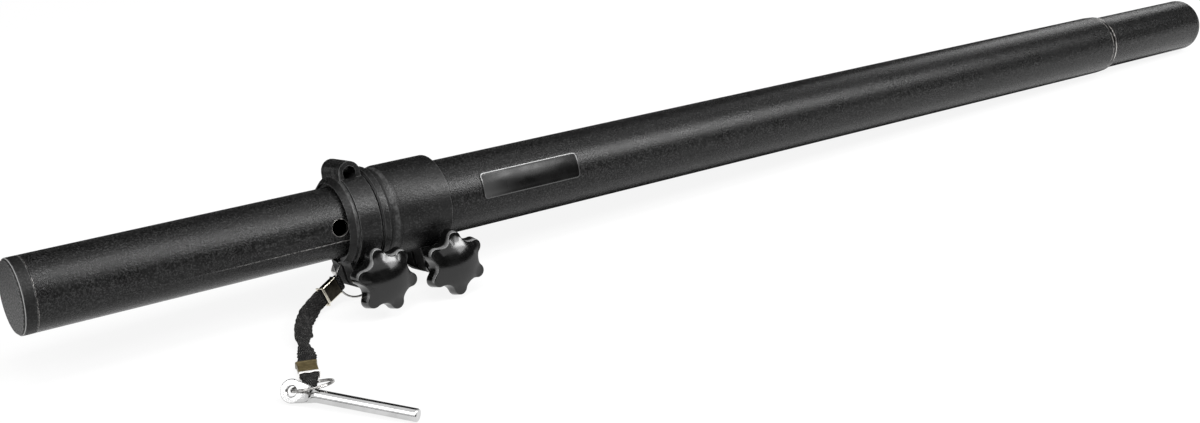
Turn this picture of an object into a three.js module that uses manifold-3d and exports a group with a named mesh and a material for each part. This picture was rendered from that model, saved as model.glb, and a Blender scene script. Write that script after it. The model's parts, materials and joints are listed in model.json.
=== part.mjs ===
import * as THREE from 'three';
import { mergeVertices } from 'three/addons/utils/BufferGeometryUtils.js';
import Module from 'manifold-3d';

// A telescopic speaker pole that lies on the floor, with its locking pin on a short leash.
// Millimetres. In the pole's own frame x runs from the top cap to the foot, the knobs point to -y
// and the clamp lugs to -z. The whole pole is then rolled and tipped into the pose in which it rests.

// Tubes
const innerTubeRadius = 17.5;
const innerTubeWall = 1.5;
const innerTubeExposed = 154.5;
const innerTubeRoom = 67.5;
const outerTubeRadius = 19.2;
const outerTubeWall = 1;
const outerTubeLength = 581.7;
const rolledEndLength = 7;
const footTubeRadius = 17.5;
const footTubeWall = 1.5;
const footTubeExposed = 100;
const footTubeInsertion = 80;
const footEndRounding = 6;

// Holes for the locking pin
const pinHoleRadius = 4.2;
const pinHolePitch = 60;
const pinHoleCount = 7;
const pinHoleToClamp = 3.6;

// Top cap and guide plug
const capFlangeLength = 6.15;
const capBevel = 1.1;
const capFloor = 3;
const capSkirtLength = 18;
const capSkirtWall = 2.5;
const plugFlangeLength = 4;
const plugSkirtLength = 20;
const plugSkirtWall = 3;

// Guide bush in the mouth of the front clamp
const bushRecess = 1.5;
const bushLength = 4;

// Clearances
const seatGap = 0.3;
const slideGap = 0.35;
const labelGap = 0.15;
const floorGap = 0.15;
const overrun = 5;

// Clamps
const clampBandRadius = 23.2;
const flangeRadius = 22.2;
const flangeNose = 2.6;
const flangeLength = 4.1;
const frontClampLength = 15.6;
const clampParting = 0.6;
const lipRadius = 24.2;
const lipLength = 4.5;
const lipBevel = 0.8;
const grooveRadius = 22.5;
const grooveLength = 3.8;
const grooveRamp = 2.7;
const rearClampLength = 38.9;
const slitWidth = 2.8;

// Lugs, studs, nuts and washers
const lugReach = 10.4;
const lugRadius = 7.8;
const lugFlare = 1.4;
const frontStudDrop = 27.2;
const rearStudDrop = 28.3;
const studRadius = 4;
const frontStudToFace = 11.3;
const rearStudToEnd = 5;
const studTail = 2.8;
const studChamfer = 0.8;
const nutAcrossFlats = 13;
const nutLength = 6.5;
const washerRadius = 8.5;
const washerThickness = 1.6;

// Knobs
const knobHubRadius = 8;
const knobBack = 23;
const knobRimHeight = 7;
const knobDomeHeight = 4;
const knobTipRadius = 17;
const knobFaceRadius = 16;
const knobLobeRadius = 3.7;
const knobValleyRadius = 12.6;
const knobDomeRadius = 12.8;
const knobShoulder = 1.7;
const knobSocketDepth = 8;

// Pocket for the pin on the front clamp
const earOffset = 9.1;
const earHeight = 23.7;
const earRadius = 5.75;
const earReach = 9.5;
const earPocketRadius = 3.45;
const earFoot = 20.4;

// Name plate
const plateStart = 76.5;
const plateLength = 59;
const plateWidth = 13.2;
const plateThickness = 0.4;
const plateCornerRadius = 2;

// Split rings
const upperRingRadius = 10.9;
const lowerRingRadius = 9.95;
const ringWire = 1.8;
const ringWireBevel = 0.4;
const upperRingOffset = 8.9;
const ringTubeGap = 0.35;
const lowerRingOffset = 1.5;

// Strap and crimps
const strapWidth = 9;
const strapThickness = 1.1;
const strapCrimpedWidth = 8.2;
const foldWidth = 7.4;
const foldGap = 0.3;
const crimpLength = 9.8;
const crimpWall = 0.4;
const crimpBend = 0.6;
const crimpGap = 0.15;
const upperFoldReach = 1.6;
const lowerFoldReach = 8;
const strapRun = 57.2;
const tailLength = 7;

// Locking pin
const pinRadius = 3;
const pinReach = 59;
const pinChamfer = 0.5;
const eyeRadius = 5.4;
const eyeHoleRadius = 2.4;
const eyeThickness = 2.4;
const eyeNeck = 12;
const shaftPoint = 8;

// Angles in degrees, steps round a circle, and shares
const ringStrapAngle = 7.3;
const upperStrapHeading = 200.7;
const upperStrapPitch = -15.8;
const upperStrapLean = -74.8;
const strapLineHeading = 234.7;
const lowerStrapHeading = 251;
const lowerRingHeading = 256;
const lowerRingRoll = 4.9;
const eyeLean = 33;
const pinHeading = -52.1;
const plateAngle = -12.3;
const frontKnobTurn = -14.3;
const rearKnobTurn = -30;
const knobLobes = 6;
const roundSteps = 48;
const smallSteps = 24;
const ringSteps = 40;
const arcSteps = 5;
const quarterTurn = 90;
// The strap between its crimps: shares of its run along and to the left of the line between them,
// shares of the upper crimp's lean and of the strap's width, and its lift as a share of its thickness
const strapPathShares = [
  [0.056, -0.033, 0.94, 1, 2.3],
  [0.125, -0.06, 0.88, 1, 1.3],
  [0.212, -0.086, 0.8, 1, 0.55],
  [0.287, -0.102, 0.71, 1, 0.15],
  [0.389, -0.106, 0.62, 0.98, 0],
  [0.485, -0.104, 0.56, 0.96, 0],
  [0.574, -0.094, 0.48, 0.92, 0],
  [0.645, -0.075, 0.37, 0.9, 0],
  [0.708, -0.054, 0.28, 0.9, 0.1],
  [0.785, -0.032, 0.19, 0.93, 0.4],
  [0.877, -0.013, 0.09, 0.98, 0.9],
];

// Places along the pole
const clampFaceX = innerTubeExposed;
const clampBoreRadius = outerTubeRadius + seatGap;
const outerTubeBore = outerTubeRadius - outerTubeWall;
const bushStartX = clampFaceX + bushRecess;
const outerTubeStartX = bushStartX + bushLength + seatGap;
const outerTubeEndX = outerTubeStartX + outerTubeLength;
const rolledBore = footTubeRadius + seatGap;
const footEndX = outerTubeEndX + footTubeExposed;
const footInnerEndX = outerTubeEndX - footTubeInsertion;
const innerTubeStartX = capFlangeLength + seatGap;
const innerTubeEndX = footInnerEndX - innerTubeRoom;
const innerTubeBore = innerTubeRadius - innerTubeWall;
const rearClampStartX = clampFaceX + frontClampLength + clampParting;
const rearClampEndX = rearClampStartX + rearClampLength;
const frontStudX = clampFaceX + frontStudToFace;
const rearStudX = rearClampEndX - rearStudToEnd;

// Places along the studs, from the clamp's middle plane towards the knob
const washerBack = lugReach + seatGap;
const hubBack = washerBack + washerThickness + seatGap;
const knobFront = knobBack + knobRimHeight;
const nutFace = lugReach + seatGap;
const nutBack = nutFace + nutLength;
const studHoleRadius = studRadius + seatGap;

const wasm = await Module();
wasm.setup();

function solid(geometry) {
  const bare = geometry.clone();
  bare.deleteAttribute('normal');
  bare.deleteAttribute('uv');
  const merged = mergeVertices(bare, 1e-4);
  const vertProperties = new Float32Array(merged.attributes.position.array);
  const triVerts = new Uint32Array(merged.index.array);
  return new wasm.Manifold(new wasm.Mesh({ numProp: 3, vertProperties, triVerts }));
}

function piece(name, body, material) {
  const { vertProperties, triVerts } = body.getMesh();
  const geometry = new THREE.BufferGeometry();
  geometry.setAttribute('position', new THREE.BufferAttribute(new Float32Array(vertProperties), 3));
  geometry.setIndex(new THREE.BufferAttribute(new Uint32Array(triVerts), 1));
  geometry.computeVertexNormals();
  const mesh = new THREE.Mesh(geometry, material);
  mesh.name = name;
  return mesh;
}

// A closed outline of [radius, x] points, turned round the x axis
function turnedGeometry(outline, steps = roundSteps) {
  const points = outline.map(([radius, x]) => new THREE.Vector2(radius, x));
  if (THREE.ShapeUtils.isClockWise(points)) {
    points.reverse();
  }
  points.push(points[0].clone());
  return new THREE.LatheGeometry(points, steps).rotateZ(-Math.PI / 2);
}

function turned(outline, steps = roundSteps) {
  return solid(turnedGeometry(outline, steps));
}

function tubeBetween(inside, outside, start, end, steps = roundSteps) {
  return turned([[inside, start], [outside, start], [outside, end], [inside, end]], steps);
}

function rod(radius, start, end, steps = smallSteps) {
  return tubeBetween(0, radius, start, end, steps);
}

// A flat outline in x and z, thick along y from one place to another
function plate(shape, fromY, toY, steps = arcSteps) {
  const geometry = new THREE.ExtrudeGeometry(shape, {
    depth: toY - fromY,
    bevelEnabled: false,
    curveSegments: steps,
  });
  geometry.rotateX(Math.PI / 2);
  geometry.translate(0, toY, 0);
  return solid(geometry);
}

function block(fromX, toX, fromY, toY, fromZ, toZ) {
  const geometry = new THREE.BoxGeometry(toX - fromX, toY - fromY, toZ - fromZ);
  geometry.translate((fromX + toX) / 2, (fromY + toY) / 2, (fromZ + toZ) / 2);
  return solid(geometry);
}

// A rod along y, such as a stud or a cross hole
function crossRod(radius, x, z, fromY, toY, steps = smallSteps) {
  const geometry = new THREE.CylinderGeometry(radius, radius, toY - fromY, steps);
  geometry.translate(x, (fromY + toY) / 2, z);
  return solid(geometry);
}

function arc(centreX, centreY, radius, from, to, steps = arcSteps) {
  return Array.from({ length: steps + 1 }, (_, i) => {
    const angle = from + (to - from) * i / steps;
    return [centreX + radius * Math.cos(angle), centreY + radius * Math.sin(angle)];
  });
}

function outlineShape(points) {
  return new THREE.Shape(points.map(([x, y]) => new THREE.Vector2(x, y)));
}

const blackTube = new THREE.MeshStandardMaterial({ color: 0x1b1b1c, roughness: 0.55, metalness: 0.2 });
const blackPlastic = new THREE.MeshStandardMaterial({ color: 0x232324, roughness: 0.6, metalness: 0 });
const capPlastic = new THREE.MeshStandardMaterial({ color: 0x3c3c3e, roughness: 0.8, metalness: 0 });
const glossPlastic = new THREE.MeshStandardMaterial({ color: 0x2b2b2d, roughness: 0.25, metalness: 0 });
const zinc = new THREE.MeshStandardMaterial({ color: 0x9a9a9c, roughness: 0.35, metalness: 0.9 });
const chrome = new THREE.MeshStandardMaterial({ color: 0xe6e6e8, roughness: 0.12, metalness: 1 });
const webbing = new THREE.MeshStandardMaterial({ color: 0x1c1c1d, roughness: 0.95, metalness: 0 });
const plateGloss = new THREE.MeshStandardMaterial({ color: 0x101012, roughness: 0.15, metalness: 0 });

// Outer tube, its foot end rolled in and its upper end slotted below
function makeOuterTube() {
  const rollX = outerTubeEndX - rolledEndLength;
  const body = turned([
    [outerTubeBore, outerTubeStartX],
    [outerTubeRadius, outerTubeStartX],
    [outerTubeRadius, rollX],
    [rolledBore + outerTubeWall, outerTubeEndX],
    [rolledBore, outerTubeEndX],
    [outerTubeBore, rollX],
  ]);
  const slot = block(
    outerTubeStartX - overrun, rearStudX, -slitWidth / 2, slitWidth / 2, -outerTubeRadius - overrun, 0,
  );
  return piece('outer_tube', body.subtract(slot), blackTube);
}

function makeFootTube() {
  const bore = footTubeRadius - footTubeWall;
  const roundX = footEndX - footEndRounding;
  const flat = footTubeRadius - footEndRounding;
  const body = turned([
    [bore, footInnerEndX],
    [footTubeRadius, footInnerEndX],
    ...arc(flat, roundX, footEndRounding, 0, Math.PI / 2),
    [0, footEndX],
    [0, footEndX - footTubeWall],
    [flat, footEndX - footTubeWall],
    [bore, roundX],
  ]);
  return piece('foot_tube', body, blackTube);
}

function makeInnerTube() {
  let body = tubeBetween(innerTubeBore, innerTubeRadius, innerTubeStartX, innerTubeEndX);
  for (let i = 0; i < pinHoleCount; i += 1) {
    const holeX = clampFaceX - pinHoleToClamp + i * pinHolePitch;
    const side = innerTubeRadius + overrun;
    body = body.subtract(crossRod(pinHoleRadius, holeX, 0, -side, side));
  }
  return piece('inner_tube', body, blackTube);
}

function makeTopCap() {
  const skirt = innerTubeBore - seatGap;
  const skirtEnd = capFlangeLength + capSkirtLength;
  const body = turned([
    [0, 0],
    [innerTubeRadius - capBevel, 0],
    [innerTubeRadius, capBevel],
    [innerTubeRadius, capFlangeLength],
    [skirt, capFlangeLength],
    [skirt, skirtEnd],
    [skirt - capSkirtWall, skirtEnd],
    [skirt - capSkirtWall, capFloor],
    [0, capFloor],
  ]);
  return piece('top_cap', body, capPlastic);
}

function makeGuidePlug() {
  const skirt = innerTubeBore - seatGap;
  const seatX = innerTubeEndX + seatGap;
  const body = turned([
    [skirt - plugSkirtWall, innerTubeEndX - plugSkirtLength],
    [skirt, innerTubeEndX - plugSkirtLength],
    [skirt, seatX],
    [outerTubeBore - slideGap, seatX],
    [outerTubeBore - slideGap, seatX + plugFlangeLength],
    [skirt - plugSkirtWall, seatX + plugFlangeLength],
  ]);
  return piece('guide_plug', body, blackPlastic);
}

function lowerSlit(startX, endX) {
  const low = rearStudDrop + lugRadius + overrun;
  return block(startX - overrun, endX + overrun, -slitWidth / 2, slitWidth / 2, -low, 0);
}

function makeGuideBush() {
  const endX = bushStartX + bushLength;
  const body = tubeBetween(innerTubeRadius + slideGap, outerTubeRadius, bushStartX, endX);
  return piece('guide_bush', body.subtract(lowerSlit(bushStartX, endX)), blackPlastic);
}

// The two lugs of a clamp, as one plate that the slit later parts
function lugPlate(studX, studDrop, fromX, toX) {
  const top = -clampBoreRadius;
  const shape = outlineShape([
    [Math.max(fromX, studX - lugRadius - lugFlare), top],
    ...arc(studX, -studDrop, lugRadius, Math.PI, 2 * Math.PI, 2 * arcSteps),
    [Math.min(toX, studX + lugRadius + lugFlare), top],
  ]);
  return plate(shape, -lugReach, lugReach);
}

// Bore, slit, stud hole and a flat seat for each washer
function finishClamp(body, startX, endX, studX, studDrop) {
  const side = lugReach + overrun;
  const seat = washerRadius + seatGap;
  return body
    .subtract(rod(clampBoreRadius, startX - overrun, endX + overrun, roundSteps))
    .subtract(lowerSlit(startX, endX))
    .subtract(crossRod(studHoleRadius, studX, -studDrop, -side, side))
    .subtract(crossRod(seat, frontStudX, -frontStudDrop, -side, -lugReach))
    .subtract(crossRod(seat, rearStudX, -rearStudDrop, -side, -lugReach));
}

function makeFrontClamp() {
  const endX = clampFaceX + frontClampLength;
  const ring = turned([
    [0, clampFaceX],
    [clampBoreRadius + seatGap, clampFaceX],
    [flangeRadius, clampFaceX + flangeNose],
    [flangeRadius, clampFaceX + flangeLength],
    [clampBandRadius, clampFaceX + flangeLength + seatGap],
    [clampBandRadius, endX],
    [0, endX],
  ]);
  const earX = clampFaceX + earOffset;
  const earShape = outlineShape([
    [earX - earRadius, earFoot],
    [earX + earRadius, earFoot],
    ...arc(earX, earHeight, earRadius, 0, Math.PI, 2 * arcSteps),
  ]);
  const pocket = crossRod(earPocketRadius, earX, earHeight, -earReach - overrun, earReach + overrun);
  const lipRelief = rod(lipRadius + clampParting, endX, rearClampEndX, roundSteps);
  const lugs = lugPlate(frontStudX, frontStudDrop, clampFaceX, rearClampEndX).subtract(lipRelief);
  const body = ring.add(lugs).add(plate(earShape, -earReach, earReach)).subtract(pocket);
  return piece('front_clamp', finishClamp(body, clampFaceX, endX, frontStudX, frontStudDrop), blackPlastic);
}

function makeRearClamp() {
  const grooveX = rearClampStartX + lipLength;
  const rampX = grooveX + grooveLength;
  const ring = turned([
    [0, rearClampStartX],
    [lipRadius - lipBevel, rearClampStartX],
    [lipRadius, rearClampStartX + lipBevel],
    [lipRadius, grooveX - lipBevel],
    [grooveRadius, grooveX],
    [grooveRadius, rampX],
    [clampBandRadius, rampX + grooveRamp],
    [clampBandRadius, rearClampEndX],
    [0, rearClampEndX],
  ]);
  const body = ring.add(lugPlate(rearStudX, rearStudDrop, rearClampStartX, rearClampEndX));
  const finished = finishClamp(body, rearClampStartX, rearClampEndX, rearStudX, rearStudDrop);
  return piece('rear_clamp', finished, blackPlastic);
}

// Lobes joined by hollow arcs that touch them
function knobOutline() {
  const half = Math.PI / knobLobes;
  const lobeCentre = knobTipRadius - knobLobeRadius;
  const along = lobeCentre * Math.cos(half);
  const hollowRadius = (lobeCentre ** 2 + knobValleyRadius ** 2 - 2 * along * knobValleyRadius
    - knobLobeRadius ** 2) / (2 * (knobLobeRadius - knobValleyRadius + along));
  const hollowCentre = knobValleyRadius + hollowRadius;
  const touch = Math.atan2(hollowCentre * Math.sin(half), hollowCentre * Math.cos(half) - lobeCentre);
  const points = [];
  for (let i = 0; i < knobLobes; i += 1) {
    const lobe = 2 * half * i;
    const hollow = lobe + half;
    const inward = hollow + Math.PI;
    const lobeX = lobeCentre * Math.cos(lobe);
    const lobeY = lobeCentre * Math.sin(lobe);
    const hollowX = hollowCentre * Math.cos(hollow);
    const hollowY = hollowCentre * Math.sin(hollow);
    points.push(...arc(lobeX, lobeY, knobLobeRadius, lobe - touch, lobe + touch));
    points.push(...arc(hollowX, hollowY, hollowRadius, inward + touch - half, inward - touch + half).slice(1, -1));
  }
  return points;
}

// A knob about its stud, the lobes drawn in towards the face and a dome over them
function makeKnob(name) {
  const top = knobFront + knobDomeHeight;
  const geometry = new THREE.ExtrudeGeometry(outlineShape(knobOutline()), {
    depth: top - knobBack,
    bevelEnabled: false,
  });
  const place = geometry.attributes.position;
  const drawnIn = (knobTipRadius - knobFaceRadius) / (knobTipRadius * knobRimHeight);
  for (let i = 0; i < place.count; i += 1) {
    const shrink = 1 - drawnIn * place.getZ(i);
    place.setXY(i, place.getX(i) * shrink, place.getY(i) * shrink);
  }
  geometry.translate(0, 0, knobBack).rotateX(Math.PI / 2);
  const domeSphere = (knobDomeRadius ** 2 + knobDomeHeight ** 2) / (2 * knobDomeHeight);
  const domeEdge = Math.acos(knobDomeRadius / domeSphere);
  const cover = turnedGeometry([
    [0, knobBack - overrun],
    [knobTipRadius + seatGap, knobBack - overrun],
    [knobTipRadius + seatGap, knobFront - knobShoulder],
    ...arc(0, top - domeSphere, domeSphere, domeEdge, Math.PI / 2),
  ]).rotateZ(-Math.PI / 2);
  const hub = crossRod(knobHubRadius, 0, 0, -knobBack - knobShoulder, -hubBack);
  const socket = crossRod(studHoleRadius, 0, 0, -knobBack - knobSocketDepth, -hubBack + overrun);
  const body = solid(geometry).intersect(solid(cover)).add(hub).subtract(socket);
  return piece(name, body, glossPlastic);
}

function makeStud(name) {
  const back = nutBack + studTail;
  const front = knobBack + knobSocketDepth - seatGap;
  const body = turnedGeometry([
    [0, -back],
    [studRadius - studChamfer, -back],
    [studRadius, studChamfer - back],
    [studRadius, front],
    [0, front],
  ], smallSteps).rotateZ(-Math.PI / 2);
  return piece(name, solid(body), zinc);
}

function makeWasher(name) {
  const body = turnedGeometry([
    [studHoleRadius, washerBack],
    [washerRadius, washerBack],
    [washerRadius, washerBack + washerThickness],
    [studHoleRadius, washerBack + washerThickness],
  ], smallSteps).rotateZ(-Math.PI / 2);
  return piece(name, solid(body), zinc);
}

// A hexagon with a flat below, its corners turned off at the back
function makeNut(name) {
  const corner = nutAcrossFlats / Math.sqrt(3);
  const turnedOff = corner - nutAcrossFlats / 2;
  const hexagon = new THREE.CylinderGeometry(corner, corner, nutLength, 6).rotateY(Math.PI / 6);
  hexagon.translate(0, nutFace + nutLength / 2, 0);
  const rounded = turnedGeometry([
    [studHoleRadius, -nutBack],
    [nutAcrossFlats / 2, -nutBack],
    [corner, turnedOff / 2 - nutBack],
    [corner, overrun - nutFace],
    [studHoleRadius, overrun - nutFace],
  ], smallSteps).rotateZ(-Math.PI / 2);
  return piece(name, solid(hexagon).intersect(solid(rounded)), zinc);
}

function makeNamePlate() {
  const inside = outerTubeRadius + labelGap;
  const startX = clampFaceX + plateStart;
  const half = plateWidth / 2;
  const straight = half - plateCornerRadius;
  const endX = startX + plateLength;
  const near = startX + plateCornerRadius;
  const far = endX - plateCornerRadius;
  const shape = outlineShape([
    ...arc(far, straight, plateCornerRadius, 0, Math.PI / 2),
    ...arc(near, straight, plateCornerRadius, Math.PI / 2, Math.PI),
    ...arc(near, -straight, plateCornerRadius, Math.PI, 1.5 * Math.PI),
    ...arc(far, -straight, plateCornerRadius, 1.5 * Math.PI, 2 * Math.PI),
  ]);
  const cutter = new THREE.ExtrudeGeometry(shape, { depth: inside + overrun, bevelEnabled: false });
  cutter.rotateX(Math.PI / 2 + THREE.MathUtils.degToRad(plateAngle));
  const shell = tubeBetween(inside, inside + plateThickness, startX - overrun, endX + overrun, 2 * roundSteps);
  return piece('name_plate', shell.intersect(solid(cutter)), plateGloss);
}

// A ring about the y axis, its wire grown on all sides where it is used to clear a space
function ringGeometry(radius, grown = 0) {
  const outside = radius + grown;
  const inside = radius - ringWire - grown;
  const side = ringWire / 2 + grown;
  return turnedGeometry([
    [inside + ringWireBevel, -side],
    [outside - ringWireBevel, -side],
    [outside, ringWireBevel - side],
    [outside, side - ringWireBevel],
    [outside - ringWireBevel, side],
    [inside + ringWireBevel, side],
    [inside, side - ringWireBevel],
    [inside, ringWireBevel - side],
  ], ringSteps).rotateZ(-Math.PI / 2);
}

// A frame whose x axis has this heading and pitch, and whose y axis leans off the level by lean
function heldFrame(position, heading, pitch, lean) {
  const frame = new THREE.Object3D();
  frame.position.copy(position);
  frame.rotation.set(
    THREE.MathUtils.degToRad(lean), -THREE.MathUtils.degToRad(pitch), THREE.MathUtils.degToRad(heading), 'ZYX',
  );
  frame.updateMatrix();
  return frame;
}

function placed(mesh, frame) {
  mesh.position.copy(frame.position);
  mesh.quaternion.copy(frame.quaternion);
  return mesh;
}

const foldRadius = ringWire / 2 + foldGap + strapThickness;

// One end of the strap about the wire it holds: a drop-shaped loop, then two layers inside the crimp
function strapEnd(frame, reach) {
  const core = strapThickness;
  const tip = reach - strapThickness;
  const loop = outlineShape([
    ...arc(0, 0, foldRadius, Math.PI / 2, 1.5 * Math.PI, 2 * arcSteps),
    [reach, -core],
    [reach + core, -core],
    [reach + core, core],
    [reach, core],
  ]);
  loop.holes.push(new THREE.Path([
    ...arc(0, 0, foldRadius - strapThickness, Math.PI / 2, 1.5 * Math.PI, 2 * arcSteps),
    [tip, -strapThickness / 4],
    [tip, strapThickness / 4],
  ].map(([x, y]) => new THREE.Vector2(x, y))));
  const fold = new THREE.ExtrudeGeometry(loop, { depth: foldWidth, bevelEnabled: false });
  fold.translate(0, 0, -foldWidth / 2).rotateX(-Math.PI / 2);
  const layers = new THREE.BoxGeometry(crimpLength, strapCrimpedWidth, 2 * core);
  layers.translate(reach + crimpLength / 2, 0, 0);
  return solid(fold.applyMatrix4(frame.matrix)).add(solid(layers.applyMatrix4(frame.matrix)));
}

// Cross-sections of the strap, each a centre, a direction across and one through it
function ribbon(sections) {
  const corners = [[1, 1], [-1, 1], [-1, -1], [1, -1]];
  const positions = sections.flatMap(({ centre, across, through, width, thickness }) => (
    corners.flatMap(([side, face]) => centre.clone()
      .addScaledVector(across, side * width / 2)
      .addScaledVector(through, face * thickness / 2)
      .toArray())
  ));
  const index = [0, 2, 1, 0, 3, 2];
  const count = corners.length;
  for (let i = 0; i < sections.length - 1; i += 1) {
    for (let j = 0; j < count; j += 1) {
      const a = i * count + j;
      const b = i * count + (j + 1) % count;
      index.push(a, b, a + count, b, b + count, a + count);
    }
  }
  const last = (sections.length - 1) * count;
  index.push(last, last + 1, last + 2, last, last + 2, last + 3);
  const geometry = new THREE.BufferGeometry();
  geometry.setAttribute('position', new THREE.Float32BufferAttribute(positions, 3));
  geometry.setIndex(index);
  return solid(geometry);
}

function frameSection(frame, x, z, backwards) {
  const turn = backwards ? -1 : 1;
  return {
    centre: new THREE.Vector3(x, 0, z).applyMatrix4(frame.matrix),
    across: new THREE.Vector3(0, turn, 0).applyQuaternion(frame.quaternion),
    through: new THREE.Vector3(0, 0, 1).applyQuaternion(frame.quaternion),
    width: strapCrimpedWidth,
    thickness: strapThickness,
  };
}

function headingVector(heading) {
  const angle = THREE.MathUtils.degToRad(heading);
  return new THREE.Vector3(Math.cos(angle), Math.sin(angle), 0);
}

const up = new THREE.Vector3(0, 0, 1);

// The free stretch of the strap: its lower edge lies on the floor, and its lean eases out along it
function strapSections(upperFrame, upperX, lowerFrame, lowerX) {
  const start = new THREE.Vector3(upperX, 0, 0).applyMatrix4(upperFrame.matrix);
  const forward = headingVector(strapLineHeading);
  const left = headingVector(strapLineHeading + quarterTurn);
  const places = strapPathShares.map(([along, across]) => start.clone()
    .addScaledVector(forward, along * strapRun)
    .addScaledVector(left, across * strapRun));
  const end = new THREE.Vector3(lowerX, 0, 0).applyMatrix4(lowerFrame.matrix);
  const line = [start, ...places, end];
  const free = strapPathShares.map(([, , leanShare, widthShare, liftShare], i) => {
    const travel = line[i + 2].clone().sub(line[i]).setZ(0).normalize();
    const lean = THREE.MathUtils.degToRad(upperStrapLean * leanShare);
    const level = up.clone().cross(travel);
    const across = level.clone().multiplyScalar(Math.cos(lean)).addScaledVector(up, Math.sin(lean));
    const through = travel.clone().cross(across);
    const width = strapWidth * widthShare;
    const centre = line[i + 1].clone();
    centre.z = floorGap + Math.abs(Math.sin(lean)) * width / 2 + Math.cos(lean) * strapThickness / 2
      + liftShare * strapThickness;
    return { centre, across, through, width, thickness: strapThickness };
  });
  return [
    frameSection(upperFrame, upperX - strapThickness, 0, false),
    frameSection(upperFrame, upperX + seatGap, 0, false),
    ...free,
    frameSection(lowerFrame, lowerX + seatGap, strapThickness / 2, true),
    frameSection(lowerFrame, lowerX - strapThickness, strapThickness / 2, true),
  ];
}

function makeStrap(upperFrame, lowerFrame, upperRingMatrix, lowerRingMatrix) {
  const upperX = upperFoldReach + crimpLength;
  const lowerX = lowerFoldReach + crimpLength;
  const tail = new THREE.BoxGeometry(tailLength, strapCrimpedWidth, strapThickness - floorGap);
  tail.translate(lowerX - strapThickness + tailLength / 2, 0, -(strapThickness + floorGap) / 2);
  const body = strapEnd(upperFrame, upperFoldReach)
    .add(strapEnd(lowerFrame, lowerFoldReach))
    .add(ribbon(strapSections(upperFrame, upperX, lowerFrame, lowerX)))
    .add(solid(tail.applyMatrix4(lowerFrame.matrix)))
    .subtract(solid(ringGeometry(upperRingRadius, seatGap).applyMatrix4(upperRingMatrix)))
    .subtract(solid(ringGeometry(lowerRingRadius, seatGap).applyMatrix4(lowerRingMatrix)));
  return piece('strap', body, webbing);
}

// A flat metal sleeve round the strap's two layers
function makeCrimp(name, reach) {
  const insideWidth = strapCrimpedWidth / 2 + crimpGap;
  const insideHeight = strapThickness + crimpGap;
  const width = insideWidth + crimpWall;
  const height = insideHeight + crimpWall;
  const right = width - crimpBend;
  const top = height - crimpBend;
  const shape = outlineShape([
    ...arc(right, top, crimpBend, 0, Math.PI / 2),
    ...arc(-right, top, crimpBend, Math.PI / 2, Math.PI),
    ...arc(-right, -top, crimpBend, Math.PI, 1.5 * Math.PI),
    ...arc(right, -top, crimpBend, 1.5 * Math.PI, 2 * Math.PI),
  ]);
  shape.holes.push(new THREE.Path([
    [insideWidth, insideHeight],
    [insideWidth, -insideHeight],
    [-insideWidth, -insideHeight],
    [-insideWidth, insideHeight],
  ].map(([x, y]) => new THREE.Vector2(x, y))));
  const geometry = new THREE.ExtrudeGeometry(shape, { depth: crimpLength, bevelEnabled: false });
  geometry.applyMatrix4(new THREE.Matrix4().makeBasis(
    new THREE.Vector3(0, 1, 0), new THREE.Vector3(0, 0, 1), new THREE.Vector3(1, 0, 0),
  ));
  geometry.translate(reach, 0, 0);
  return piece(name, solid(geometry), zinc);
}

// The pin from the middle of its eye: a flattened blade that swells into the round shaft
function makeLockingPin() {
  const side = Math.acos((eyeRadius - pinRadius) / eyeNeck);
  const blade = outlineShape([
    ...arc(0, 0, eyeRadius, side, 2 * Math.PI - side, 4 * arcSteps),
    [eyeNeck, -pinRadius],
    [eyeNeck, pinRadius],
  ]);
  const bladeGeometry = new THREE.ExtrudeGeometry(blade, { depth: eyeThickness, bevelEnabled: false });
  bladeGeometry.translate(0, 0, -eyeThickness / 2);
  const hole = new THREE.CylinderGeometry(eyeHoleRadius, eyeHoleRadius, eyeThickness + overrun, smallSteps);
  hole.rotateX(Math.PI / 2);
  const shaft = turned([
    [0, shaftPoint],
    [eyeThickness / 2, shaftPoint],
    [pinRadius, eyeNeck],
    [pinRadius, pinReach - pinChamfer],
    [pinRadius - pinChamfer, pinReach],
    [0, pinReach],
  ], smallSteps);
  return piece('locking_pin', solid(bladeGeometry).add(shaft).subtract(solid(hole)), chrome);
}

// The pole rests on the rear knob's lowest lobe, the rear nut's lower flat and the foot's round edge
const lobeDrop = rearStudDrop + knobTipRadius;
const nutDrop = rearStudDrop + nutAcrossFlats / 2;
const roll = Math.atan2(lobeDrop - nutDrop, knobBack + nutBack);
const lobeDepth = lobeDrop * Math.cos(roll) - knobBack * Math.sin(roll);
const footArcDrop = lobeDepth - (footTubeRadius - footEndRounding);
const footArcAway = footEndX - footEndRounding - rearStudX;
const pitch = Math.atan2(footArcDrop, footArcAway)
  - Math.asin(footEndRounding / Math.hypot(footArcDrop, footArcAway));

const pole = new THREE.Group();
pole.rotation.set(-roll, pitch, 0, 'YXZ');
pole.updateMatrix();
const lobeContact = new THREE.Vector3(rearStudX, -knobBack, -lobeDrop).applyMatrix4(pole.matrix);
pole.position.z = -lobeContact.z;
pole.updateMatrix();

function clampScrew(side, studX, studDrop, turn) {
  const screw = new THREE.Group();
  screw.position.set(studX, 0, -studDrop);
  const knob = makeKnob(`${side}_knob`);
  knob.rotation.y = -THREE.MathUtils.degToRad(turn);
  screw.add(knob, makeStud(`${side}_stud`), makeWasher(`${side}_washer`), makeNut(`${side}_nut`));
  return screw;
}

const upperRingCentre = new THREE.Vector3(
  clampFaceX + upperRingOffset, 0, -innerTubeRadius - ringTubeGap - upperRingRadius,
);
const upperRing = piece('upper_split_ring', solid(ringGeometry(upperRingRadius)), zinc);
upperRing.position.copy(upperRingCentre);

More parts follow.
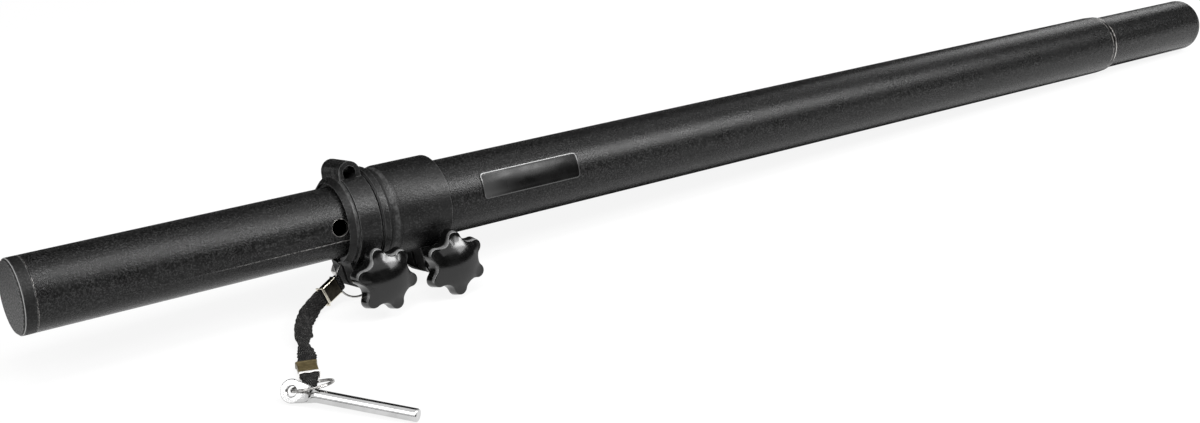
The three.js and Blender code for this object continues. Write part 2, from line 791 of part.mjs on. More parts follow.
pole.add(
  makeOuterTube(),
  makeFootTube(),
  makeInnerTube(),
  makeTopCap(),
  makeGuidePlug(),
  makeGuideBush(),
  makeFrontClamp(),
  makeRearClamp(),
  makeNamePlate(),
  clampScrew('front', frontStudX, frontStudDrop, frontKnobTurn),
  clampScrew('rear', rearStudX, rearStudDrop, rearKnobTurn),
  upperRing,
);

// The leash, from the upper ring's wire to the floor
const strapAngle = THREE.MathUtils.degToRad(ringStrapAngle);
const upperWireRadius = upperRingRadius - ringWire / 2;
const upperWire = upperRingCentre.clone()
  .add(new THREE.Vector3(-upperWireRadius * Math.cos(strapAngle), 0, -upperWireRadius * Math.sin(strapAngle)))
  .applyMatrix4(pole.matrix);
const upperFrame = heldFrame(upperWire, upperStrapHeading, upperStrapPitch, upperStrapLean);
const foldHeight = foldRadius + floorGap;
const crimpHeight = strapThickness + crimpGap + crimpWall + floorGap;
const lowerPitch = THREE.MathUtils.radToDeg(
  -Math.asin((foldHeight - crimpHeight) / (lowerFoldReach + crimpLength)),
);
const strapEndPoint = new THREE.Vector3(upperFoldReach + crimpLength, 0, 0)
  .applyMatrix4(upperFrame.matrix)
  .addScaledVector(headingVector(strapLineHeading), strapRun);
const lowerWire = strapEndPoint.clone()
  .addScaledVector(headingVector(lowerStrapHeading), lowerFoldReach + crimpLength)
  .setZ(foldHeight);
const lowerFrame = heldFrame(lowerWire, lowerStrapHeading + 2 * quarterTurn, lowerPitch, 0);

// The lower ring leans from the strap's loop on the floor up to the pin's eye
const wireRadius = lowerRingRadius - ringWire / 2;
const eyeLeanAngle = THREE.MathUtils.degToRad(eyeLean);
const eyeHeight = eyeRadius * Math.cos(eyeLeanAngle) + eyeThickness * Math.sin(eyeLeanAngle) / 2 + floorGap;
const ringRollRise = Math.sin(THREE.MathUtils.degToRad(lowerRingRoll));
const ringTilt = Math.atan(ringRollRise)
  + Math.asin((eyeHeight - foldHeight) / (wireRadius * Math.hypot(1, ringRollRise)));
const ringCentre = lowerWire.clone()
  .addScaledVector(headingVector(lowerStrapHeading - quarterTurn), lowerRingOffset)
  .addScaledVector(headingVector(lowerRingHeading), wireRadius * Math.cos(ringTilt))
  .addScaledVector(up, wireRadius * Math.sin(ringTilt));
const ringRest = heldFrame(
  ringCentre, lowerRingHeading, THREE.MathUtils.radToDeg(ringTilt), quarterTurn + lowerRingRoll,
);
const lowerRing = placed(piece('lower_split_ring', solid(ringGeometry(lowerRingRadius)), zinc), ringRest);
const eyePlace = new THREE.Vector3(0, 0, wireRadius).applyMatrix4(ringRest.matrix);
const pinPitch = -THREE.MathUtils.radToDeg(Math.asin((eyeHeight - pinRadius - floorGap) / pinReach));
const pinFrame = heldFrame(eyePlace, pinHeading, pinPitch, quarterTurn - eyeLean);

upperRing.updateMatrix();
const upperRingMatrix = pole.matrix.clone().multiply(upperRing.matrix);

const onFloor = new THREE.Group();
onFloor.add(
  pole,
  makeStrap(upperFrame, lowerFrame, upperRingMatrix, ringRest.matrix),
  placed(makeCrimp('upper_crimp', upperFoldReach), upperFrame),
  placed(makeCrimp('lower_crimp', lowerFoldReach), lowerFrame),
  lowerRing,
  placed(makeLockingPin(), pinFrame),
);

const speakerPole = new THREE.Group();
speakerPole.add(onFloor);
speakerPole.updateMatrixWorld(true);
const box = new THREE.Box3().setFromObject(speakerPole, true);
const middle = box.getCenter(new THREE.Vector3());
onFloor.position.set(-middle.x, -middle.y, -box.min.z);
speakerPole.updateMatrixWorld(true);

export default speakerPole;
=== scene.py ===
import json
import math

import bmesh
import bpy
from mathutils import Matrix, Vector

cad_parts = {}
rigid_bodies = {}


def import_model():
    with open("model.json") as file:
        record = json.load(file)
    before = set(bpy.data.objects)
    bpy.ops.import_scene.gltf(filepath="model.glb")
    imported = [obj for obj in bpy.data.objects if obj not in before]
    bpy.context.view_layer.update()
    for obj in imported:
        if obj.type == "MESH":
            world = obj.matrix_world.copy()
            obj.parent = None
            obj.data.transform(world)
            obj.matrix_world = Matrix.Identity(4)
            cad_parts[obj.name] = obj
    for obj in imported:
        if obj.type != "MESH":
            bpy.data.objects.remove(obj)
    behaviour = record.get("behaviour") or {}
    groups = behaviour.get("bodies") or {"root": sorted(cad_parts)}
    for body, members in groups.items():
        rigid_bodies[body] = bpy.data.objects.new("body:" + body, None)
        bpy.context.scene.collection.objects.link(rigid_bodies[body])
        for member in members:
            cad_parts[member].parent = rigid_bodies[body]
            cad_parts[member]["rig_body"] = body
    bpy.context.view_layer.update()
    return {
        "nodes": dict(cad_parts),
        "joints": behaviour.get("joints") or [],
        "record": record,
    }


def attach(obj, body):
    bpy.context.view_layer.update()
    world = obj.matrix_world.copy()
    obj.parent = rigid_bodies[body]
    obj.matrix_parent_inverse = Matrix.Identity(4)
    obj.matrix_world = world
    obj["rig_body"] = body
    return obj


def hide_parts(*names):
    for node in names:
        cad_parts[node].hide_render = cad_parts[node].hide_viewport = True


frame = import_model()
nodes = frame["nodes"]
joints = {joint["name"]: joint for joint in frame["joints"]}
mounts = {mount["name"]: mount for mount in frame["record"]["mounts"]}
mm = 0.001


def jointPlace(name):
    return Vector(joints[name]["pos_m"])


def axesMatrix(x, y, z, origin):
    turn = Matrix((x, y, z)).transposed().to_4x4()
    return Matrix.Translation(origin) @ turn


# The pole's own axes: x from the top cap to the foot, y away from the knobs
poleX = -Vector(mounts["pole_top"]["axis"]).normalized()
poleZ = poleX.cross(-Vector(joints["front_knob_turn"]["axis"])).normalized()
poleY = poleZ.cross(poleX)
poleAxis = axesMatrix(poleX, poleY, poleZ, Vector(mounts["pole_top"]["pos_m"]))
poleFrame = poleAxis @ Matrix.Scale(mm, 4)


def linked(name, data):
    made = bpy.data.objects.new(name, data)
    bpy.context.scene.collection.objects.link(made)
    return made


# The frame of a piece of the leash, in millimetres from the wire that holds it
def heldFrame(place, heading, pitch, lean):
    turn = (
        Matrix.Rotation(math.radians(heading), 4, "Z")
        @ Matrix.Rotation(-math.radians(pitch), 4, "Y")
        @ Matrix.Rotation(math.radians(lean), 4, "X")
    )
    return Matrix.Translation(place) @ turn @ Matrix.Scale(mm, 4)


# Camera
cameraView = {
    "lens": 48.023,
    "sensor": 36,
    "clip": (0.05, 20.0),
    "place": (-173.004, -705.142, 138.415),  # mm, along the pole's axes
    "right": (0.80438591, -0.58239071, -0.11740685),
    "up": (0.20588352, 0.08788342, 0.97462222),
}


def makeCamera(v):
    right, up = Vector(v["right"]), Vector(v["up"])
    camera = linked("camera", bpy.data.cameras.new("camera"))
    camera.data.lens = v["lens"]
    camera.data.sensor_width = v["sensor"]
    camera.data.sensor_fit = "HORIZONTAL"
    camera.data.clip_start, camera.data.clip_end = v["clip"]
    local = axesMatrix(right, up, right.cross(up), Vector(v["place"]) * mm)
    camera.matrix_world = poleAxis @ local
    bpy.context.scene.camera = camera


makeCamera(cameraView)
print("camera placed")


# Material helpers
def add(tree, kind, sockets=None, **settings):
    made = tree.nodes.new(kind)
    for name, value in settings.items():
        setattr(made, name, value)
    for key, value in (sockets or {}).items():
        if isinstance(value, bpy.types.NodeSocket):
            tree.links.new(value, made.inputs[key])
        else:
            made.inputs[key].default_value = value
    return made


def calc(tree, operation, *values, clamp=False):
    sockets = {i: value for i, value in enumerate(values)}
    return add(tree, "ShaderNodeMath", sockets, operation=operation, use_clamp=clamp).outputs[0]


def times(tree, product, *others):
    for other in others:
        product = calc(tree, "MULTIPLY", product, other)
    return product


def grey(level, warm=0.0):
    return (level * (1 + warm), level, level * (1 - warm), 1)


def mixed(tree, share, first, second):
    made = add(tree, "ShaderNodeMix", {0: share, 6: first, 7: second}, data_type="RGBA")
    return made.outputs[2]


# The colour with a grey over it where the mask is 1
def tinted(tree, colour, mask, level, share=1.0, warm=0.0):
    if share < 1:
        mask = times(tree, mask, share)
    return mixed(tree, mask, colour, grey(level, warm))


# A value from low to high, as outLow to outHigh
def spread(tree, value, low, high, outLow=0.0, outHigh=1.0):
    sockets = {0: value, 1: low, 2: high, 3: outLow, 4: outHigh}
    return add(tree, "ShaderNodeMapRange", sockets, interpolation_type="SMOOTHSTEP").outputs[0]


# 1 between low and high, softened at both ends
def within(tree, value, low, high, soft):
    rising = spread(tree, value, low - soft, low + soft)
    return times(tree, rising, spread(tree, value, high + soft, high - soft))


# Object coordinates along the pole's axes, in millimetres
def poleCoords(tree):
    coords = add(tree, "ShaderNodeTexCoord").outputs["Object"]
    sockets = {0: coords, 1: poleAxis.to_translation(), 2: poleAxis.to_euler(), 3: (mm, mm, mm)}
    return add(tree, "ShaderNodeMapping", sockets, vector_type="TEXTURE").outputs[0]


def parted(tree, coords):
    return add(tree, "ShaderNodeSeparateXYZ", {0: coords}).outputs


def noise(tree, coords, size, detail, rough=0.5):
    sockets = {"Vector": coords, "Scale": 1 / size, "Detail": detail, "Roughness": rough}
    return add(tree, "ShaderNodeTexNoise", sockets).outputs[0]


# The "wear" values of a piece's own vertices: worn spots on the crimps, the plate's border, and on the knobs the
# rim that gets a painted highlight
def vertexMarks(tree):
    return add(tree, "ShaderNodeAttribute", attribute_name="wear").outputs["Fac"]


# How far the surface faces a direction
def facing(tree, direction):
    normal = add(tree, "ShaderNodeNewGeometry").outputs["Normal"]
    sockets = {0: direction, 1: normal}
    return add(tree, "ShaderNodeVectorMath", sockets, operation="DOT_PRODUCT").outputs["Value"]


edgeLook = {"samples": 6, "flat": 0.985, "sharp": 0.9}


# Near 1 along sharp outer edges
def edgeWear(tree, radius):
    soft = add(tree, "ShaderNodeBevel", {"Radius": radius * mm}, samples=edgeLook["samples"])
    return spread(tree, facing(tree, soft.outputs[0]), edgeLook["flat"], edgeLook["sharp"])


def newMaterial(name):
    made = bpy.data.materials.new(name)
    made.use_nodes = True
    tree = made.node_tree
    tree.nodes.clear()
    return made, tree


def shown(tree, shader, output="ShaderNodeOutputMaterial"):
    add(tree, output, {"Surface": shader.outputs[0]})


def finishMaterial(tree, v, colour, rough, height, metallic=0.0):
    raised = {"Strength": v["bumpStrength"], "Distance": v["bumpDepth"] * mm, "Height": height}
    shown(tree, add(tree, "ShaderNodeBsdfPrincipled", {
        "Base Color": colour,
        "Metallic": metallic,
        "Roughness": rough,
        "Normal": add(tree, "ShaderNodeBump", raised).outputs[0],
        "Specular IOR Level": v["gloss"],
    }))


# Powder coat. A noise is its size in millimetres, detail and roughness; a spread is where a mask
# starts to rise and where it is full, then its values there if they aren't 0 and 1
powderCoat = {
    "dark": 0.0008,
    "light": 0.003,
    "shadow": 0.0005,
    "grain": (0.8, 3.0, 0.6),
    "grainSpread": (0.3, 0.75),
    "grainHeight": 0.5,
    "fine": (0.85, 3.0, 0.75),
    "speck": 0.045,
    "speckSpread": (0.4, 0.74),
    "speckShare": 0.7,
    "rough": (0.38, 0.66, 0.27, 0.15),
    "clouds": (14.0, 2.0),
    "cloudRough": (0.3, 0.7, -0.02, 0.03),
    "gloss": 0.2,
    "bumpStrength": 1.0,
    "bumpDepth": 0.15,
    "wearRadius": 0.35,
    "wearPatches": (2.5, 4.0),
    "wearSpread": (0.35, 0.6),
    "wearLevel": 0.5,
    "wearWarmth": 0.04,
    "wearMetal": 0.8,
}

weldSeam = {
    "angle": 24.0,
    "halfWidth": 0.24,
    "softShare": 0.6,
    "start": (38.0, 60.0),
    "height": 1.5,
    "litStart": (70.0, 150.0),
    "litBreaks": (1.6, 3.0),
    "breakSpread": (0.36, 0.6, 0.12, 1.0),
    "litLevel": 0.22,
    "litShare": 0.85,
    "warmth": 0.03,
}

pinHoles = {
    "pitch": 60.0,
    "first": 150.9,
    "radius": 4.2,
    "clearTop": 120.0,  # no hole is nearer to the top cap
    "rim": (0.4, 0.15),  # off the hole's edge
    "rimLower": (1.0, 5.0, 0.04, 0.7),
    "rimLevel": 0.3,
    "rimShare": 0.8,
    "warmth": 0.03,
    # painted shade on the hole walls
    "inside": (0.12, 0.02),
}

rolledEnd = {
    "place": 741.2,
    "lip": (-0.5, 0.3, 0.2),  # from, to and softness, off the place
    # painted shade in the dip behind the lip
    "creaseShade": (-2.4, -0.8, 0.3),
    "step": (-3.4, -3.0, 0.3),
    "stepShare": 0.6,
    "scrapes": (5.0, 5.0, 0.7),
    "scrapeSpread": (0.42, 0.56),
}


# The seam's dark line and its lit stretches, on the side of the tube that the knobs are on
def seamMasks(tree, v, coords, apart):
    angle = math.radians(v["angle"])
    upward = times(tree, apart["Y"], math.sin(angle))
    off = calc(tree, "ADD", upward, times(tree, apart["Z"], -math.cos(angle)))
    soft = v["halfWidth"] * v["softShare"]
    near = spread(tree, calc(tree, "ABSOLUTE", off), v["halfWidth"] + soft, v["halfWidth"] - soft)
    knobSide = calc(tree, "LESS_THAN", apart["Y"], 0.0)
    line = times(tree, near, knobSide, spread(tree, apart["X"], *v["start"]))
    broken = spread(tree, noise(tree, coords, *v["litBreaks"]), *v["breakSpread"])
    return line, times(tree, line, broken, spread(tree, apart["X"], *v["litStart"]))


# Lighter rims round the cross holes, strongest towards one side, and painted shade on their walls
def holeMasks(tree, v, apart):
    half = v["pitch"] / 2
    along = calc(tree, "SUBTRACT", apart["X"], v["first"] - half)
    along = calc(tree, "SUBTRACT", calc(tree, "FLOORED_MODULO", along, v["pitch"]), half)
    squares = calc(tree, "ADD", times(tree, along, along), times(tree, apart["Z"], apart["Z"]))
    away = calc(tree, "SUBTRACT", calc(tree, "SQRT", squares), v["radius"])
    clear = calc(tree, "GREATER_THAN", apart["X"], v["clearTop"])
    lower = spread(tree, calc(tree, "SUBTRACT", along, apart["Z"]), *v["rimLower"])
    rim = times(tree, spread(tree, away, *v["rim"]), lower, clear)
    return rim, times(tree, spread(tree, away, *v["inside"]), clear)


# The scraped arcs of the rolled end, and painted shade in the dip between them
def rolledMasks(tree, v, coords, apart):
    past = calc(tree, "SUBTRACT", apart["X"], v["place"])
    step = times(tree, within(tree, past, *v["step"]), v["stepShare"])
    arcs = calc(tree, "MAXIMUM", within(tree, past, *v["lip"]), step)
    scraped = spread(tree, noise(tree, coords, *v["scrapes"]), *v["scrapeSpread"])
    return times(tree, arcs, scraped), within(tree, past, *v["creaseShade"])


def makePowderCoat(name, v, seam=None, holes=None, rolled=None):
    made, tree = newMaterial(name)
    coords = poleCoords(tree)
    apart = parted(tree, coords)
    grain = noise(tree, coords, *v["grain"])
    fine = noise(tree, coords, *v["fine"])
    colour = mixed(tree, spread(tree, grain, *v["grainSpread"]), grey(v["dark"]), grey(v["light"]))
    colour = tinted(tree, colour, spread(tree, fine, *v["speckSpread"]), v["speck"], v["speckShare"])
    height = calc(tree, "ADD", fine, times(tree, grain, v["grainHeight"]))
    patches = spread(tree, noise(tree, coords, *v["wearPatches"]), *v["wearSpread"])
    bright = times(tree, edgeWear(tree, v["wearRadius"]), patches)
    if seam:
        line, lit = seamMasks(tree, seam, coords, apart)
        colour = tinted(tree, colour, line, v["shadow"])
        colour = tinted(tree, colour, lit, seam["litLevel"], seam["litShare"], seam["warmth"])
        height = calc(tree, "ADD", height, times(tree, line, seam["height"]))
    if holes:
        rim, inside = holeMasks(tree, holes, apart)
        colour = tinted(tree, colour, rim, holes["rimLevel"], holes["rimShare"], holes["warmth"])
        # painted shade on the walls of the cross holes
        colour = tinted(tree, colour, inside, v["shadow"])
    if rolled:
        arcs, creaseShade = rolledMasks(tree, rolled, coords, apart)
        bright = calc(tree, "MAXIMUM", bright, arcs)
        # painted shade in the rolled end's dip
        colour = tinted(tree, colour, creaseShade, v["shadow"])
    colour = tinted(tree, colour, bright, v["wearLevel"], warm=v["wearWarmth"])
    clouds = spread(tree, noise(tree, coords, *v["clouds"]), *v["cloudRough"])
    rough = calc(tree, "ADD", spread(tree, fine, *v["rough"]), clouds)
    finishMaterial(tree, v, colour, rough, height, times(tree, bright, v["wearMetal"]))
    return made


# Moulded plastic of the clamps, the liner, the plug and the cap
mouldedNylon = {
    "dark": 0.001,
    "light": 0.006,
    "grain": (1.0, 4.0, 0.65),
    "blotches": (6.0, 3.0),
    "grainShare": 0.6,
    "blotchSpread": (0.35, 0.65),
    "fine": (0.85, 3.0, 0.75),
    "speck": 0.05,
    "speckSpread": (0.5, 0.7),
    "speckShare": 0.6,
    "roughSpread": (0.36, 0.66),
    "rough": (0.4, 0.22),
    "gloss": 0.25,
    "bumpStrength": 0.8,
    "bumpDepth": 0.14,
    "wearRadius": 0.4,
    "wearPatches": (1.8, 3.0),
    "wearSpread": (0.3, 0.6, 0.15, 1.0),
    "wearLevel": 0.15,
    "wearShare": 0.8,
}

# Bands are from, to and softness along the pole's axes
clampMarks = {
    "shade": (-26.0, -18.0, 0.9, 0.0),
    "shadow": 0.0006,
    "shadeRough": 0.5,
    # ramp and nose: bands that get a painted highlight on their upper side, broken in patches
    "ramp": (178.1, 180.3, 0.5),
    "nose": (157.2, 158.7, 0.2),
    "scuffs": (2.2, 4.0, 0.6),
    "scuffSpread": (0.36, 0.64, 0.15, 1.0),
    "highlightAbove": -19.0,
    "highlightLevel": 0.045,
    # groove, rampEnd and the pin pocket get painted shade
    "groove": (175.5, 176.8, 0.4),
    "rampEnd": (181.3, 181.9, 0.4),
    "lineShare": 0.7,
    "pocket": {"X": (160.3, 166.9, 0.1), "Y": (-9.7, 9.7, 0.1), "Z": (20.0, 23.7, 0.1)},
}

capPlastic = dict(
    mouldedNylon, dark=0.002, light=0.008, speck=0.03, wearLevel=0.3, rough=(0.6, 0.42), gloss=0.2,
)

capFace = {
    "face": (-1.0, 0.35, 0.15),
    "faceSpread": (0.4, 0.7),
    "faceDark": 0.018,
    "faceLight": 0.11,
    "rimLine": (0.75, 1.0, 0.12),
}


# Painted highlight on the clamps' ramp and nose, on their upper side only and broken in patches, and painted
# shade in their grooves and round the pin hole
def clampMasks(tree, v, coords, apart):
    along = apart["X"]
    scuffs = spread(tree, noise(tree, coords, *v["scuffs"]), *v["scuffSpread"])
    above = calc(tree, "GREATER_THAN", apart["Z"], v["highlightAbove"])
    raised = calc(tree, "MAXIMUM", within(tree, along, *v["ramp"]), within(tree, along, *v["nose"]))
    lines = calc(tree, "MAXIMUM", within(tree, along, *v["groove"]), within(tree, along, *v["rampEnd"]))
    pocket = times(tree, *(within(tree, apart[axis], *reach) for axis, reach in v["pocket"].items()))
    hollow = calc(tree, "MAXIMUM", pocket, times(tree, lines, v["lineShare"]))
    return times(tree, raised, scuffs, above), hollow


def makeMoulded(name, v, clamp=None, cap=None):
    made, tree = newMaterial(name)
    coords = poleCoords(tree)
    apart = parted(tree, coords)
    grain = noise(tree, coords, *v["grain"])
    blotches = times(tree, noise(tree, coords, *v["blotches"]), 1 - v["grainShare"])
    fine = noise(tree, coords, *v["fine"])
    tone = calc(tree, "ADD", times(tree, grain, v["grainShare"]), blotches)
    colour = mixed(tree, spread(tree, tone, *v["blotchSpread"]), grey(v["dark"]), grey(v["light"]))
    colour = tinted(tree, colour, spread(tree, fine, *v["speckSpread"]), v["speck"], v["speckShare"])
    patches = spread(tree, noise(tree, coords, *v["wearPatches"]), *v["wearSpread"])
    worn = times(tree, edgeWear(tree, v["wearRadius"]), patches)
    rough = spread(tree, fine, *v["roughSpread"], *v["rough"])
    if cap:
        dust = spread(tree, fine, *cap["faceSpread"])
        dusty = mixed(tree, dust, grey(cap["faceDark"]), grey(cap["faceLight"]))
        colour = mixed(tree, within(tree, apart["X"], *cap["face"]), colour, dusty)
        colour = tinted(tree, colour, within(tree, apart["X"], *cap["rimLine"]), v["wearLevel"])
    if clamp:
        shade = spread(tree, apart["Z"], *clamp["shade"])
        rampHighlight, hollow = clampMasks(tree, clamp, coords, apart)
        colour = tinted(tree, colour, shade, clamp["shadow"])
        # painted highlight on the ramp and nose
        colour = tinted(tree, colour, rampHighlight, clamp["highlightLevel"])
        # painted shade in the grooves and in and round the pin pocket
        colour = tinted(tree, colour, hollow, clamp["shadow"])
        worn = times(tree, worn, calc(tree, "SUBTRACT", 1.0, hollow))
        rough = calc(tree, "ADD", rough, times(tree, shade, clamp["shadeRough"]), clamp=True)
        rough = calc(tree, "MAXIMUM", rough, hollow)
    colour = tinted(tree, colour, worn, v["wearLevel"], v["wearShare"])
    finishMaterial(tree, v, colour, rough, calc(tree, "ADD", grain, fine))
    return made


knobGloss = {
    "dark": 0.001,
    "light": 0.004,
    "clouds": (5.0, 4.0, 0.6),
    "scratches": (0.5, 5.0, 0.7),
    "dust": 0.12,
    "dustSpread": (0.66, 0.8),
    "dustShare": 0.25,
    "dustRough": 0.3,
    "rough": (0.3, 0.9, 0.14, 0.28),
    "gloss": 0.55,
    "bumpStrength": 0.08,
    "bumpDepth": 0.12,
    "rimLevel": 0.2,
    "rimSpread": (0.3, 0.8),
    "rimSide": (-0.45, 0.0, 0.75),  # the side whose rim gets a painted highlight, along the pole's axes
    "rimFacing": (0.15, 0.55),
    "rimPatches": (0.3, 0.6, 0.3, 0.9),
}


def makeKnobGloss(name, v):
    made, tree = newMaterial(name)
    coords = poleCoords(tree)
    clouds = noise(tree, coords, *v["clouds"])
    dust = spread(tree, noise(tree, coords, *v["scratches"]), *v["dustSpread"])
    colour = mixed(tree, clouds, grey(v["dark"]), grey(v["light"]))
    colour = tinted(tree, colour, dust, v["dust"], v["dustShare"])
    # a painted highlight on the rim edges that face rimSide, broken in patches
    litSide = facing(tree, poleAxis.to_3x3() @ Vector(v["rimSide"]))
    rim = times(
        tree, spread(tree, vertexMarks(tree), *v["rimSpread"]), spread(tree, litSide, *v["rimFacing"]),
        spread(tree, clouds, *v["rimPatches"]),
    )
    colour = tinted(tree, colour, rim, v["rimLevel"])
    dusty = calc(tree, "ADD", clouds, times(tree, dust, v["dustRough"]))
    finishMaterial(tree, v, colour, spread(tree, dusty, *v["rough"]), clouds)
    return made


# Metals: what they share, then what each has of its own
metalFinish = {
    "cloudSpread": (0.35, 0.7),
    "scuffs": (0.5, 4.0, 0.7),
    "scuffSpread": (0.35, 0.75),
    "metallic": 1.0,
    "gloss": 0.5,
    "bumpDepth": 0.05,
    "worn": None,
    "wearRagged": 0.5,
    "scuffMiddle": 0.5,
    "wearSpread": (0.35, 0.65),
}

chromeFinish = dict(
    metalFinish, first=grey(0.52), second=grey(0.62), clouds=(9.0, 3.0), rough=(0.05, 0.12),
    bumpStrength=0.05,
)
zincFinish = dict(
    metalFinish, first=grey(0.5, 0.03), second=grey(0.68, 0.02), clouds=(2.0, 3.0), rough=(0.22, 0.4),
    bumpStrength=0.15,
)
blackZincFinish = dict(zincFinish, first=grey(0.03), second=grey(0.08))
ringFinish = dict(
    zincFinish, first=grey(0.25, 0.03), second=grey(0.5, 0.02), clouds=(1.6, 3.0), rough=(0.14, 0.3),
)
upperCrimpFinish = dict(
    zincFinish, first=(0.028, 0.025, 0.02, 1), second=(0.05, 0.044, 0.034, 1), rough=(0.3, 0.45),
    bumpStrength=0.2, worn=(0.85, 0.8, 0.68, 1),
)
lowerCrimpFinish = dict(
    upperCrimpFinish, first=(0.085, 0.066, 0.03, 1), second=(0.13, 0.102, 0.05, 1),
    worn=grey(0.9, 0.02), metallic=0.35,
)


def makeMetal(name, v):
    made, tree = newMaterial(name)
    coords = poleCoords(tree)
    clouds = noise(tree, coords, *v["clouds"])
    scuffs = noise(tree, coords, *v["scuffs"])
    colour = mixed(tree, spread(tree, clouds, *v["cloudSpread"]), v["first"], v["second"])
    if v["worn"]:
        ragged = times(tree, calc(tree, "SUBTRACT", scuffs, v["scuffMiddle"]), v["wearRagged"])
        wear = spread(tree, calc(tree, "ADD", vertexMarks(tree), ragged), *v["wearSpread"])
        colour = mixed(tree, wear, colour, v["worn"])
    rough = spread(tree, scuffs, *v["scuffSpread"], *v["rough"])
    finishMaterial(tree, v, colour, rough, scuffs, v["metallic"])
    return made


webbingFinish = {
    "pitch": 0.95,
    "slant": 0.7,
    "dark": 0.002,
    "light": 0.17,
    "warmth": 0.02,
    "threadSpread": (0.45, 1.0),
    "fuzz": (0.5, 3.0),
    "fuzzSpread": (0.35, 0.65, 0.25, 1.0),
    "fuzzHeight": 0.4,
    "patches": (3.2, 2.0),
    "patchSpread": (0.35, 0.65, 0.35, 1.0),
    "rough": 0.85,
    "gloss": 0.15,
    "bumpStrength": 1.0,
    "bumpDepth": 0.3,
}


# Two sets of slanting threads on the strap's own map, in millimetres
def makeWebbing(name, v):
    made, tree = newMaterial(name)
    flat = add(tree, "ShaderNodeUVMap", uv_map="weave").outputs[0]
    apart = parted(tree, flat)
    slants = (
        calc(tree, "ADD", apart["X"], apart["Y"]),
        calc(tree, "SUBTRACT", apart["X"], times(tree, apart["Y"], v["slant"])),
    )
    turn = math.pi / v["pitch"]
    threads = times(tree, *(
        calc(tree, "ABSOLUTE", calc(tree, "SINE", times(tree, slant, turn))) for slant in slants
    ))
    fuzz = noise(tree, flat, *v["fuzz"])
    patches = noise(tree, flat, *v["patches"])
    lit = times(
        tree, spread(tree, threads, *v["threadSpread"]), spread(tree, fuzz, *v["fuzzSpread"]),
        spread(tree, patches, *v["patchSpread"]),
    )
    colour = mixed(tree, lit, grey(v["dark"]), grey(v["light"], v["warmth"]))
    height = calc(tree, "ADD", threads, times(tree, fuzz, v["fuzzHeight"]))
    finishMaterial(tree, v, colour, v["rough"], height)
    return made


plateFinish = {
    "dark": 0.002,
    "light": 0.006,
    "clouds": (8.0, 4.0),
    "rough": (0.3, 0.7, 0.2, 0.32),
    "gloss": 0.16,
    "bumpStrength": 0.08,
    "bumpDepth": 0.1,
    "sheen": 0.035,
    "sheenRun": (252.0, 231.0),
    "border": 0.1,
    "borderSpread": (0.4, 0.6),
    "borderMetal": 0.6,
}


def makePlateGloss(name, v):
    made, tree = newMaterial(name)
    coords = poleCoords(tree)
    clouds = noise(tree, coords, *v["clouds"])
    border = spread(tree, vertexMarks(tree), *v["borderSpread"])
    colour = mixed(tree, clouds, grey(v["dark"]), grey(v["light"]))
    sheen = spread(tree, parted(tree, coords)["X"], *v["sheenRun"])
    colour = tinted(tree, colour, sheen, v["sheen"])
    colour = tinted(tree, colour, border, v["border"])
    metallic = times(tree, border, v["borderMetal"])
    finishMaterial(tree, v, colour, spread(tree, clouds, *v["rough"]), clouds, metallic)
    return made


materials = {
    "outerTubeCoat": makePowderCoat("outerTubeCoat", powderCoat, rolled=rolledEnd),
    "innerTubeCoat": makePowderCoat("innerTubeCoat", powderCoat, seam=weldSeam, holes=pinHoles),
    "clampNylon": makeMoulded("clampNylon", mouldedNylon, clamp=clampMarks),
    "capNylon": makeMoulded("capNylon", capPlastic, cap=capFace),
    "knobGloss": makeKnobGloss("knobGloss", knobGloss),
    "pinChrome": makeMetal("pinChrome", chromeFinish),
    "zincPlating": makeMetal("zincPlating", zincFinish),
    "blackZinc": makeMetal("blackZinc", blackZincFinish),
    "ringWire": makeMetal("ringWire", ringFinish),
    "upperCrimpMetal": makeMetal("upperCrimpMetal", upperCrimpFinish),
    "lowerCrimpMetal": makeMetal("lowerCrimpMetal", lowerCrimpFinish),
    "strapWebbing": makeWebbing("strapWebbing", webbingFinish),
    "plateGloss": makePlateGloss("plateGloss", plateFinish),
}
print("materials made")


# Piece helpers
def smoothed(bm, sharpAngle):
    for face in bm.faces:
        face.smooth = True
    for edge in bm.edges:
        if len(edge.link_faces) == 2 and edge.calc_face_angle(0) > math.radians(sharpAngle):
            edge.smooth = False


def newObject(bm, name, material):
    mesh = bpy.data.meshes.new(name)
    bm.to_mesh(mesh)
    bm.free()
    mesh.materials.append(material)
    return linked(name, mesh)


# The piece rides on its body and stands for its CAD node
def finished(bm, name, material, body, node, sharpAngle, place=None):
    if place is not None:
        bm.transform(place)
    smoothed(bm, sharpAngle)
    piece = newObject(bm, name, materials[material])
    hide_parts(node)
    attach(piece, body)
    return piece


def ringEdges(bm, verts):
    return [bm.edges.get((verts[i], verts[(i + 1) % len(verts)])) for i in range(len(verts))]


# Extrudes a closed loop and returns the new one, in the same order
def nextLoop(bm, verts):
    made = bmesh.ops.extrude_edge_only(bm, edges=ringEdges(bm, verts))
    fresh = {item for item in made["geom"] if isinstance(item, bmesh.types.BMVert)}
    return [
        next(edge.other_vert(vert) for edge in vert.link_edges if edge.other_vert(vert) in fresh)
        for vert in verts
    ]


# A closed loop of points and the angle of each
def firstLoop(bm, count):
    made = bmesh.ops.create_circle(bm, segments=count, radius=1.0)
    turns = {vert: math.atan2(vert.co.y, vert.co.x) for vert in made["verts"]}
    loop = sorted(turns, key=turns.get)
    return loop, [turns[vert] for vert in loop]


def capLoop(bm, verts):
    bmesh.ops.contextual_create(bm, geom=ringEdges(bm, verts))


# A tube or solid of loops, each set in its place by a function
def loft(bm, loop, stations, setLoop, solid=True):
    setLoop(loop, stations[0])
    if solid:
        capLoop(bm, loop)
    for station in stations[1:]:
        loop = nextLoop(bm, loop)
        setLoop(loop, station)
    if solid:
        capLoop(bm, loop)


